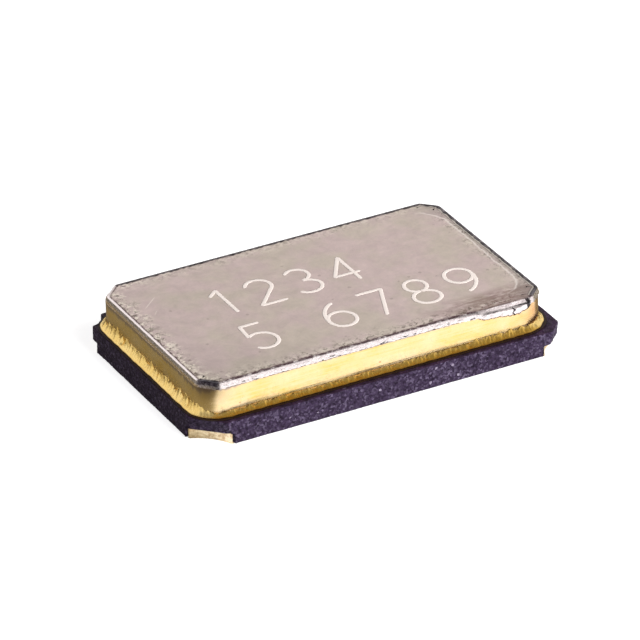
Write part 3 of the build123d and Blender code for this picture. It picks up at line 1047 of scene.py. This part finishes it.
def shade(finish, bumps=None, **sockets):
    """Fills the shader's sockets; bumps are a pattern of heights and its depth in millimetres."""
    if bumps:
        pattern = dict(Strength=1.0, Distance=bumps[1] * MM, Height=bumps[0])
        sockets["Normal"] = add_node(finish.node_tree, "ShaderNodeBump", **pattern)[0]
    fill(finish.node_tree.nodes["Principled BSDF"], **sockets)


def new_finish(name, **sockets):
    """A material whose shader's named sockets are set; gives it and its node tree."""
    finish = bpy.data.materials.new(name)
    finish.use_nodes = True
    shade(finish, **sockets)
    return finish, finish.node_tree


def wear(finish, *pieces):
    """Puts a finish on pieces, in place of any other."""
    for piece in pieces:
        piece.data.materials.clear()
        piece.data.materials.append(finish)
    print(f"{finish.name}: {len(finish.node_tree.nodes)} nodes, on {len(pieces)} pieces")


def new_group(name, recipe, **inputs):
    """A node group with named float inputs and their defaults, filled in by a recipe."""
    group = bpy.data.node_groups.new(name, "ShaderNodeTree")
    for key, value in inputs.items():
        socket = group.interface.new_socket(key, in_out="INPUT", socket_type="NodeSocketFloat")
        socket.default_value = value
    results = recipe(group, add_node(group, "NodeGroupInput"))
    for key in results:
        group.interface.new_socket(key, in_out="OUTPUT", socket_type="NodeSocketFloat")
    add_node(group, "NodeGroupOutput", **results)
    return group


def use_group(tree, group, **inputs):
    """Places a group in a finish with its own values and gives its outputs."""
    return add_node(tree, "ShaderNodeGroup", {"node_tree": group}, **inputs)


# %% [markdown]
# ## Effects that several finishes share
#
# Metal and ceramic alike have fine grain, scattered specks and faint rubbed streaks. Each is a node
# group, built once and placed in each finish with its own values. A group here only gives masks and
# heights; the shader stays in the material.

# %% Grain, specks and streaks


def grain_recipe(group, given):
    """A noise of many small lumps, and the same noise stretched to a mask."""
    lumps = noise(millimetres(group), given["Lumps"], 5.0, given["Sharpness"])
    return {"Mask": between(lumps, 0.32, 0.68), "Height": lumps}


def speck_recipe(group, given):
    """Spots of one size in the middle of a share of a pattern's cells, with wobbly edges."""
    place = millimetres(group)
    wobble = add_node(group, "ShaderNodeTexNoise", Vector=place, Scale=30.0, Detail=2.0)["Color"]
    add = {"operation": "MULTIPLY_ADD"}
    wobbled = add_node(group, "ShaderNodeVectorMath", add, _0=wobble, _1=(0.03, 0.03, 0.03), _2=place)
    cells = add_node(group, "ShaderNodeTexVoronoi", Vector=wobbled[0], Scale=given["Spacing"])
    chance = add_node(group, "ShaderNodeSeparateColor", Color=cells["Color"])[0]
    spot = calculate("LESS_THAN", cells["Distance"], given["Size"])
    return {"Mask": spot * calculate("LESS_THAN", chance, given["Share"])}


def streak_recipe(group, given):
    """A noise stretched along the piece and squeezed in height."""
    x, y, z = axes(millimetres(group))
    drawn = dict(X=x * given["Length"], Y=y * given["Length"], Z=z * given["Fineness"])
    lines = noise(add_node(group, "ShaderNodeCombineXYZ", **drawn)[0], 1.0, 3.0, 0.5)
    return {"Mask": between(lines, 0.35, 0.65), "Height": lines}


fine_grain = new_group("fine_grain", grain_recipe, Lumps=20.0, Sharpness=0.6)
specks_group = new_group("scattered_specks", speck_recipe, Spacing=10.0, Size=0.2, Share=0.3)
streaks_group = new_group("drawn_streaks", streak_recipe, Fineness=60.0, Length=0.8)
print("shared effects:", [group.name for group in bpy.data.node_groups])

# %% [markdown]
# ## Lid metal
#
# The lid is dull grey alloy with a warm cast. Its face is not polished: rolling and handling leave
# cloudy patches and dark specks, and next to the weld the plating is crazed, pale and dirty, least
# at the back. Painted light makes the face lighter towards the right, and painted shade makes it
# darker near the front left. How close a point is to the edge is worked out from its place.

# %% Lid finish: the face
lid_finish, tree = new_finish("lid_alloy", Metallic=1.0)
place = millimetres(tree)
x, y, z = axes(place)
across = x - float(STACK_SHIFT[0])
from_side = (LID_LENGTH + STACK_GROWTH) / 2 - abs(across)
from_edge = calculate("MINIMUM", from_side, LID_WIDTH / 2 - abs(y))
wander = between(noise(place, 7.0, 5.0, 0.6), 0.3, 0.7, -0.06, 0.06)
edge_zone = between(from_edge + wander, 0.27, 0.07)
two_tones = between(noise(place, 1.9, 4.0, 0.55), 0.40, 0.60)
colour = blend(two_tones, linear(207, 187, 182), linear(202, 188, 175))
clouds = between(noise(place, 5.0, 7.0, 0.70, 0.4), 0.34, 0.68, 0.89, 1.06)
grain = use_group(tree, fine_grain, Lumps=30.0, Sharpness=0.75)
grit = between(grain["Mask"], 0.0, 1.0, 0.93, 1.06)
# Painted light and shade: the face is made lighter towards the right and darker near the front left
painted_light_to_right = between(x, -2.2, 1.2, 0.97, 1.05)
painted_shade_near_left = between(x * 0.6 + y, -2.6, -1.5, 0.85, 1.0)
colour = blend(1.0, colour, clouds * grit * painted_light_to_right * painted_shade_near_left, "MULTIPLY")
specks = use_group(tree, specks_group, Spacing=6.5, Size=0.13, Share=0.16)["Mask"]
colour = blend(specks * 0.30, colour, linear(120, 104, 94))
pale = between(noise(place, 13.0, 5.0, 0.72, 0.5), 0.48, 0.56) * between(x, -2.0, -1.7, 0.8, 0.4)
colour = blend(edge_zone * pale, colour, linear(246, 236, 218))
dirt = between(noise(place, 15.0, 5.0, 0.72, 0.6), 0.53, 0.59) * between(y, 0.9, 1.15, 1.0, 0.45)
colour = blend(dirt * edge_zone * 0.85, colour, linear(98, 86, 72))
print("the lid's face:", len(tree.nodes), "nodes")

# %% [markdown]
# ## Smudges, a rolled line and scratches
#
# Handling and welding leave their own traces on the face. At the front right, burnt flux is smeared
# along the edge. On the right, the wheels have rolled the metal flat beyond a line with rounded
# corners, and its bend is painted: a pale painted highlight along the line and a grey painted shade
# beyond it. A point's distance past the line is sqrt(past_x^2 + past_y^2) less the corner's radius.
# Two fine scratches shine at the back left.

# %% Lid finish: traces on the face
ROLLED_X, ROLLED_Y, ROLLED_RADIUS = 1.767, 0.80, 0.44  # where the line's corners are centred
smudges = between(noise(millimetres(tree, (0.5, 1.9, 1.0)), 5.0, 6.0, 0.7, 0.6), 0.40, 0.54)
smudges = smudges * between(x, 0.55, 1.5) * between(y, -0.98, -1.14)
colour = blend(smudges * 0.62, colour, linear(118, 82, 72))
past_x = calculate("MAXIMUM", abs(across) - ROLLED_X, 0.0)
past_y = calculate("MAXIMUM", abs(y) - ROLLED_Y, 0.0)
past = calculate("POWER", past_x * past_x + past_y * past_y, 0.5) - ROLLED_RADIUS + wander * 0.35
at_right = between(x, 1.90, 2.10)
# Painted shade beyond the line, and a painted highlight along it, for the bend of the rolled edge
colour = blend(between(past, 0.0, 0.03, 0.0, 0.35) * at_right, colour, linear(150, 140, 132))
painted_bend_highlight = between(abs(past), 0.020, 0.004, 0.0, 0.7) * at_right
colour = blend(painted_bend_highlight, colour, linear(240, 230, 222))
# Each scratch is given by its middle, its length, its angle from +X and how bright it is
SCRATCHES = (((-1.97, 0.78), 0.36, 0.73, 0.6), ((-2.02, 0.52), 0.14, 0.9, 0.35))
for middle, length, angle, strength in SCRATCHES:
    from_x, from_y = x - middle[0], y - middle[1]
    along = abs(from_x * cos(angle) + from_y * sin(angle))
    beside = abs(from_y * cos(angle) - from_x * sin(angle))
    scratch = between(beside, 0.010, 0.004) * between(along, length / 2, length / 4)
    colour = blend(scratch * strength, colour, linear(236, 224, 214))
print("the face with its traces:", len(tree.nodes), "nodes")

# %% [markdown]
# ## Weld metal, soot and painted shade
#
# The bead is clean melted metal, brighter and smoother than the face, with dark flecks drawn out
# along it. Where the metal ran, it has a broken seam and two cracks. The track is full of brown
# soot, deepened by painted shade, the corners where the wheels stopped and started are black with
# soot and painted shade, the crest on the left, right and back is darkened by painted shade, and on
# the left some gold wicked up from the frame.

# %% Lid finish: the weld
SEAM_HEIGHT = RING_TOP + 0.012
bead, run, wicked = mark(tree, "weld_bead"), mark(tree, "ran_down"), mark(tree, "gold_wicked")
drawn_out = millimetres(tree, (0.45, 0.45, 1.7))
flecks = between(noise(drawn_out, 24.0, 4.0, 0.6), 0.555, 0.60)
flecks = flecks * between(z, LID_TOP - 0.018, SEAM_HEIGHT) * between(run, 0.1, 0.4, 1.0, 0.35)
flecks = flecks * between(y, -1.30, -1.38, 0.15, 1.0)
from_seam = abs(z - SEAM_HEIGHT) + between(noise(place, 9.0, 5.0, 0.7), 0.3, 0.7, 0.002, 0.016)
seam = between(from_seam, 0.016, 0.010) * between(run, 0.10, 0.3)
seam = seam * between(noise(drawn_out, 16.0, 3.0, 0.6), 0.36, 0.50)
ragged = between(noise(place, 24.0), 0.3, 0.7, -0.4, 0.4)
cracked = between(mark(tree, "cracks") + ragged, 0.45, 0.6)
bead_dark = calculate("MAXIMUM", calculate("MAXIMUM", flecks, seam), cracked)
colour = blend(bead, colour, blend(bead_dark, linear(252, 240, 238), linear(70, 66, 68)))
# Painted highlight along the track on the right
colour = blend(mark(tree, "painted_track_highlight") * 0.8, colour, linear(228, 220, 204))
# Soot in the track, with painted shade in its groove and on the crest's front slope
track_soot_and_shade_patches = between(noise(place, 12.0, 5.0, 0.75), 0.38, 0.56, 0.10, 0.95)
colour = blend(mark(tree, "track") * track_soot_and_shade_patches, colour, linear(88, 60, 64))
colour = blend(wicked * 0.9, colour, linear(200, 172, 130))
# Soot and painted shade share one dark colour
soot_and_shade_tone = between(noise(place, 13.0, 4.0, 0.6), 0.42, 0.60)
soot_and_shade_colour = blend(soot_and_shade_tone, linear(34, 28, 36), linear(86, 79, 86))
soot_and_shade_patches = between(noise(place, 10.0, 5.0, 0.65), 0.34, 0.52, 0.78, 1.0)
colour = blend((mark(tree, "corner_soot_and_shade") - wicked * 0.6) * soot_and_shade_patches, colour, soot_and_shade_colour)
rough = between(grain["Mask"], 0.0, 1.0, 0.34, 0.48) - bead * 0.14
shade(lid_finish, Base_Color=colour, Roughness=rough, bumps=(grain["Height"], 0.0032))
wear(lid_finish, lid)

# %% [markdown]
# ## The marking's frost
#
# The laser leaves a fine white crust, so the strokes are the only matt thing on the lid.

# %% Marking finish
marking_finish, tree = new_finish("laser_frost", Roughness=0.7)
frost = use_group(tree, fine_grain, Lumps=60.0, Sharpness=0.7)
white = blend(frost["Mask"], linear(255, 236, 226), linear(255, 248, 242))
shade(marking_finish, Base_Color=white, bumps=(frost["Height"], 0.002))
wear(marking_finish, marking)

# %% [markdown]
# ## Gold plate
#
# A thin gold layer copies whatever lies under it: the frame's wall keeps the fine lines of its
# drawing die, the braze its ridges, and the terminals the rough ceramic. So the finishes share one
# recipe and differ in bumps, roughness and stain.

# %% Gold recipe


def gold_finish(name, light, deep, rough, lumps, depth, along, upright):
    """Gold plate: two tones mixed by patches and streaks, its roughness varied by fine grain.

    along and upright are the strengths of streaks that run round the piece and up it. Gives the
    tree and the colour as well, for a stain to be laid over.
    """
    finish, tree = new_finish(name, Metallic=1.0)
    grain = use_group(tree, fine_grain, Lumps=lumps, Sharpness=0.6)
    drawn = use_group(tree, streaks_group, Fineness=70.0, Length=1.2)
    patches = between(noise(millimetres(tree), 3.0, 5.0, 0.6), 0.36, 0.66)
    ribs = between(noise(millimetres(tree, (1, 1, 0.12)), 34.0, 4.0, 0.7), 0.36, 0.64)
    worn = noise(millimetres(tree, (0.8, 0.8, 1.6)), 3.2, 4.0, 0.6)
    worn_lines = between(worn, 0.42, 0.60, 0.15, 1.0) * drawn["Mask"]
    tone = patches * 0.4 + worn_lines * (1.1 * along) + ribs * (0.6 * upright)
    specks = use_group(tree, specks_group, Spacing=9.0, Size=0.12, Share=0.16)["Mask"]
    colour = blend(specks * 0.5, blend(tone, light, deep), linear(168, 124, 56))
    rough = between(grain["Mask"], 0.0, 1.0, rough - 0.05, rough + 0.08)
    relief = grain["Height"] * (1.0 - max(along, upright)) + drawn["Height"] * along
    shade(finish, Roughness=rough, bumps=(relief + ribs * (0.4 * upright), depth))
    return finish, tree, colour


# %% [markdown]
# ## Gold on the frame, the braze and the terminals
#
# The weld's heat has turned the top of the frame's wall grey, with painted shade under the lid, and
# tinted two of its corners; painted shade darkens its front left corner. The braze has painted
# shadows between its fingers, flux with a painted shadow at its foot, and a deeper yellow of painted
# shade along the front. The terminals are worn, and darkened at the right by painted shade.

# %% Gold finishes
ring_finish, tree, colour = gold_finish(
    "frame_gold", linear(255, 227, 180), linear(247, 210, 122), 0.20, 26.0, 0.0014, 0.6, 0.15
)
tint = between(noise(millimetres(tree), 6.0, 4.0, 0.6), 0.3, 0.6, 0.4, 1.0)
colour = blend(mark(tree, "heat_tint") * tint, colour, linear(205, 136, 84))
# Burnt grey and painted shade at the top of the wall
colour = blend(mark(tree, "weld_burn_and_shade") * 0.9, colour, linear(176, 158, 152))
# Painted shade at the front left corner
shade(ring_finish, Base_Color=blend(mark(tree, "front_left_shade"), colour, linear(92, 70, 58)))
wear(ring_finish, ring)

braze_finish, tree, colour = gold_finish(
    "braze_gold", linear(255, 224, 150), linear(240, 200, 108), 0.26, 18.0, 0.0050, 0.0, 0.7
)
way_down = mark(tree, "way_down")
# Painted shade: a deeper, darker yellow along the front
painted_front_shade = between(axes(millimetres(tree))[1], -1.42, -1.47)
colour = blend(painted_front_shade * 0.8, colour, linear(216, 168, 60))
# Painted shadows between the fingers at the top of the fillet
painted_finger_shadows = between(noise(millimetres(tree, (1, 1, 0.25)), 24.0, 4.0, 0.65), 0.50, 0.58)
colour = blend(painted_finger_shadows * between(way_down, 0.36, 0.12, 0.0, 0.85), colour, linear(100, 68, 28))
# Flux at the foot, with a painted shadow along it
foot_flux_and_shadow = between(way_down, 0.90, 1.0) * 0.8
shade(braze_finish, Base_Color=blend(foot_flux_and_shadow, colour, linear(96, 58, 24)))
wear(braze_finish, braze)

terminal_finish, tree, colour = gold_finish(
    "terminal_gold", linear(255, 238, 206), linear(246, 216, 160), 0.42, 22.0, 0.005, 0.0, 0.3
)
worn = between(noise(millimetres(tree), 9.0, 5.0, 0.7), 0.44, 0.58, 0.0, 0.7)
colour = blend(worn, colour, linear(190, 152, 104))
# Painted shade on the terminals at the right end
painted_right_shade = between(axes(millimetres(tree))[0], 2.36, 2.44, 0.0, 0.8)
shade(terminal_finish, Base_Color=blend(painted_right_shade, colour, linear(96, 84, 92)))
wear(terminal_finish, *terminals)

# %% [markdown]
# ## Dark ceramic
#
# The base is alumina coloured black-purple by metal oxides. A snapped side is a field of broken
# grains: most are dark, some are pale and a few carry a painted glint. The grains are a cell pattern
# with its own brightness for each cell, over a finer noise. The top face was never snapped, so it is
# smoother and darker, and painted shadow from the braze darkens it further, which leaves a black line
# under the braze.

# %% Ceramic finish
ceramic_finish, tree = new_finish("dark_ceramic_snapped", Specular_IOR_Level=0.14)
place = millimetres(tree)
grains = add_node(tree, "ShaderNodeTexVoronoi", Vector=place, Scale=38.0, Randomness=1.0)
grain_tone = add_node(tree, "ShaderNodeSeparateColor", Color=grains["Color"])[0]
clusters = between(noise(place, 8.0, 5.0, 0.65), 0.38, 0.62)
mottle = between(noise(place, 24.0, 5.0, 0.7), 0.36, 0.66)
colour = blend(mottle, linear(32, 21, 38), linear(76, 61, 88))
pale_grain = between(grain_tone, 0.62, 1.0) * between(clusters, 0.0, 1.0, 0.25, 0.8)
colour = blend(pale_grain, colour, linear(128, 114, 142))
# Painted glints on a few grains
painted_glints = use_group(tree, specks_group, Spacing=13.0, Size=0.24, Share=0.10)["Mask"]
colour = blend(painted_glints * 0.6, colour, linear(196, 182, 206))
# The smoother top face, darkened further by painted shadow under the braze
top_face_and_shadow = between(axes(place)[2], CERAMIC_TOP - 0.010, CERAMIC_TOP - 0.002, 0.0, 0.85)
colour = blend(top_face_and_shadow, colour, blend(clusters, linear(26, 14, 24), linear(58, 38, 62)))
rough = between(mottle, 0.0, 1.0, 0.66, 0.5)
relief = noise(place, 30.0, 5.0, 0.7) + grains["Distance"] * 0.5
shade(ceramic_finish, Base_Color=colour, Roughness=rough, bumps=(relief, 0.012))
wear(ceramic_finish, ceramic)

# %% [markdown]
# ## Finishes inside the package
#
# The pieces under the lid keep the frame's own solids. They still get real finishes: fired tungsten
# is dull grey and grainy, the mounting pads are gold over it, the adhesive is silver flakes in a
# resin, the blank is clear quartz with lapped faces, and its electrodes are thin bright silver.

# %% Inner finishes


def solids(*names):
    """Some of the frame's own solids."""
    return [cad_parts[name] for name in names]


def grainy_finish(name, dark, light, metallic, rough, lumps, depth):
    """A dull finish: two tones mixed by fine grain, with bumps from the same grain."""
    finish, tree = new_finish(name, Metallic=metallic)
    grain = use_group(tree, fine_grain, Lumps=lumps, Sharpness=0.7)
    patches = between(noise(millimetres(tree), 4.0, 4.0, 0.6), 0.35, 0.65)
    colour = blend((grain["Mask"] + patches) * 0.5, linear(*dark), linear(*light))
    rough = between(grain["Mask"], 0.0, 1.0, rough, rough + 0.15)
    shade(finish, Base_Color=colour, Roughness=rough, bumps=(grain["Height"], depth))
    return finish


# The band's finish is nearly black: a painted shadow under the braze's foot
wear(grainy_finish("fired_band_painted_shadow", (22, 10, 6), (50, 26, 14), 0.3, 0.6, 30.0, 0.004), band)
wear(
    grainy_finish("fired_tungsten", (70, 70, 74), (120, 119, 122), 0.9, 0.5, 40.0, 0.004),
    *solids("crystal_trace_1", "crystal_trace_2", "ground_link_1", "ground_link_2"),
)
wear(terminal_finish, *solids("mounting_pad_1", "mounting_pad_2", "rest_pad"))
wear(
    grainy_finish("silver_adhesive", (148, 148, 152), (206, 206, 208), 0.4, 0.45, 50.0, 0.006),
    *solids("adhesive_dot_1", "adhesive_dot_2"),
)
wear(
    grainy_finish("electrode_silver", (214, 214, 212), (240, 240, 238), 1.0, 0.14, 24.0, 0.0008),
    *solids("upper_electrode", "lower_electrode"),
)
quartz, tree = new_finish("lapped_quartz", Transmission_Weight=0.9, IOR=1.54)
lapping = use_group(tree, fine_grain, Lumps=45.0, Sharpness=0.7)
colour = blend(lapping["Mask"], linear(236, 242, 244), linear(250, 252, 252))
rough = between(lapping["Mask"], 0.0, 1.0, 0.08, 0.2)
shade(quartz, Base_Color=colour, Roughness=rough, bumps=(lapping["Height"], 0.001))
wear(quartz, *solids("quartz_blank"))

# %% [markdown]
# ## The floor
#
# The part stands on a white floor under one soft lamp and a dim sky. To the camera, floor and sky
# are plain white. Gold and alloy show what they mirror, and that is painted apart from the rest: to
# glossy rays only, a patch in front of the part is a painted bright reflection, and the floor around
# it a painted dim, warm reflection, which makes the front wall glow and leaves the left wall olive.
# From below the floor is clear, and the patch that the part hides lights its underside.

# %% White floor
FLOOR_RADIUS = 400.0
CAMERA_GLOW = 0.85
FLOOR_WHITE = (0.60, 0.60, 0.60, 1.0)
COOL_WHITE = (1.0, 0.995, 1.0, 1.0)
AROUND_WHITE, BRIGHT_REFLECTION_WHITE = linear(104, 98, 80), linear(250, 252, 255)
AROUND_GLOW, BRIGHT_REFLECTION_GLOW = 0.18, 0.37
AROUND_TINT, BRIGHT_REFLECTION_TINT = (1.0, 0.90, 0.62, 1.0), (1.0, 1.0, 1.0, 1.0)
UNDER_GLOW = 0.8
BRIGHT_REFLECTION_BACK = (-1.22, -1.45)  # millimetres along Y, where the painted bright reflection in front begins
BRIGHT_REFLECTION_LEFT = (-2.85, -2.55)  # and along X
HIDDEN_X, HIDDEN_Y, HIDDEN_SUM = (2.46, 2.42), (1.56, 1.52), (3.46, 3.42)  # the hidden patch's edges
disc = FLOOR_RADIUS * np.pad(spokes(0, 360, 96)[:-1], ((0, 0), (0, 1)))
floor_mesh = bpy.data.meshes.new("white_floor")
floor_mesh.from_pydata((disc * MM).tolist(), [], [list(range(len(disc)))])
floor = bpy.data.objects.new("white_floor", floor_mesh)
bpy.context.scene.collection.objects.link(floor)
floor_finish, tree = new_finish("white_sheet", Roughness=0.9, Specular_IOR_Level=0.0)
rays = add_node(tree, "ShaderNodeLightPath")
seen = calculate("MAXIMUM", rays["Is Camera Ray"], rays["Is Transmission Ray"])
x, y, _ = axes(millimetres(tree))
# Painted reflection, for glossy rays only: bright in front of the part, dim and warm around it
bright_reflection_patch = between(y, *BRIGHT_REFLECTION_BACK) * between(x, *BRIGHT_REFLECTION_LEFT)
white = blend(rays["Is Glossy Ray"], FLOOR_WHITE, blend(bright_reflection_patch, AROUND_WHITE, BRIGHT_REFLECTION_WHITE))
tint = blend(rays["Is Glossy Ray"], COOL_WHITE, blend(bright_reflection_patch, AROUND_TINT, BRIGHT_REFLECTION_TINT))
mirrored = between(bright_reflection_patch, 0.0, 1.0, AROUND_GLOW, BRIGHT_REFLECTION_GLOW)
under = between(abs(x), *HIDDEN_X) * between(abs(y), *HIDDEN_Y) * between(abs(x) + abs(y), *HIDDEN_SUM)
under = calculate("MAXIMUM", under - rays["Is Camera Ray"], 0.0)
glow = seen * CAMERA_GLOW + rays["Is Glossy Ray"] * mirrored + under * UNDER_GLOW
clear = 1.0 - add_node(tree, "ShaderNodeNewGeometry")["Backfacing"]
shade(floor_finish, Base_Color=white, Emission_Color=tint, Emission_Strength=glow, Alpha=clear)
wear(floor_finish, floor)

# %% [markdown]
# ## The sky
#
# The sky mirrors white near the horizon and darker high up at the front, where the lamp's black back
# would hang. To matt surfaces it is a dim, even fill.

# %% Sky
SKY_FILL = 0.16  # what the sky adds to matt surfaces
SKY_HIGH = 0.38  # mirrored high up at the front, against 1 elsewhere
sky = bpy.data.worlds.new("studio_sky")
sky.use_nodes = True
bpy.context.scene.world = sky
tree = sky.node_tree
_, y, z = axes(add_node(tree, "ShaderNodeTexCoord")["Generated"])
reflected = between(z - y * 0.35, 0.55, 0.85, 1.0, SKY_HIGH)
rays = add_node(tree, "ShaderNodeLightPath")
seen = calculate("MAXIMUM", rays["Is Camera Ray"], rays["Is Transmission Ray"])
glow = add_node(tree, "ShaderNodeMix", _0=rays["Is Glossy Ray"], _2=SKY_FILL, _3=reflected)[0]
glow = add_node(tree, "ShaderNodeMix", _0=seen, _2=glow, _3=1.0)[0]
fill(tree.nodes["Background"], Color=COOL_WHITE, Strength=glow)
print("sky fill:", SKY_FILL, "mirrored high up:", SKY_HIGH)

# %% [markdown]
# ## The lamp
#
# One large soft lamp stands at the front right. It lights only matt surfaces, so that it leaves no
# glare on the metal.

# %% Lamp
LAMP_DISTANCE = 80.0
LAMP_WIDE, LAMP_TALL = 70.0, 32.0
LAMP_AZIMUTH, LAMP_ELEVATION = radians(-62.0), radians(38.0)
LAMP_LIGHT = 1.4  # on a surface that faces the lamp, 1 shows white as white
towards_lamp = Vector(
    (
        cos(LAMP_AZIMUTH) * cos(LAMP_ELEVATION),
        sin(LAMP_AZIMUTH) * cos(LAMP_ELEVATION),
        sin(LAMP_ELEVATION),
    )
)
lamp_data = bpy.data.lights.new("key_lamp", "AREA")
lamp_data.shape = "RECTANGLE"
lamp_data.size, lamp_data.size_y = LAMP_WIDE * MM, LAMP_TALL * MM
# A small lamp of power P gives P / (pi * distance^2) straight ahead, and white shows it over pi
lamp_data.energy = LAMP_LIGHT * pi * pi * (LAMP_DISTANCE * MM) ** 2
lamp = bpy.data.objects.new("key_lamp", lamp_data)
lamp.location = towards_lamp * LAMP_DISTANCE * MM
lamp.rotation_mode = "QUATERNION"
lamp.rotation_quaternion = towards_lamp.to_track_quat("Z", "Y")
lamp.visible_camera = lamp.visible_glossy = False
bpy.context.scene.collection.objects.link(lamp)
print("lamp:", round(lamp_data.energy * 1000, 1), "milliwatts")

# %% [markdown]
# ## Camera
#
# The view is close and long-lensed, as a product shot of a tiny part is: the camera stands seven
# centimetres away behind a long lens, a little to the left of the front, and tips by one and a half
# degrees.

# %% Camera
AZIMUTH, ELEVATION, ROLL = radians(-27.42), radians(28.73), radians(-1.40)
DISTANCE = 69.86  # millimetres to the middle of the base's underside
FOCAL_LENGTH, SENSOR = 320.6, 36.0
AIM_RIGHT, AIM_UP = -0.0539, 0.3116  # millimetres from the base's middle to the middle of the view
back = Vector((sin(AZIMUTH) * cos(ELEVATION), -cos(AZIMUTH) * cos(ELEVATION), sin(ELEVATION)))
level = Vector((0, 0, 1)).cross(back).normalized()
upright = back.cross(level)
right = level * cos(ROLL) + upright * sin(ROLL)
top = upright * cos(ROLL) - level * sin(ROLL)
place = Vector((0, 0, PAD_TOP)) + back * DISTANCE + right * AIM_RIGHT + top * AIM_UP
camera_data = bpy.data.cameras.new("camera")
camera_data.lens, camera_data.sensor_width = FOCAL_LENGTH, SENSOR
camera_data.clip_start, camera_data.clip_end = 0.001, 10.0
camera = bpy.data.objects.new("camera", camera_data)
camera.matrix_world = Matrix.Translation(place * MM) @ Matrix((right, top, back)).transposed().to_4x4()
bpy.context.scene.collection.objects.link(camera)
bpy.context.scene.camera = camera
bpy.context.scene.view_settings.view_transform = "Standard"
print("camera at", [round(x, 1) for x in place], "mm")
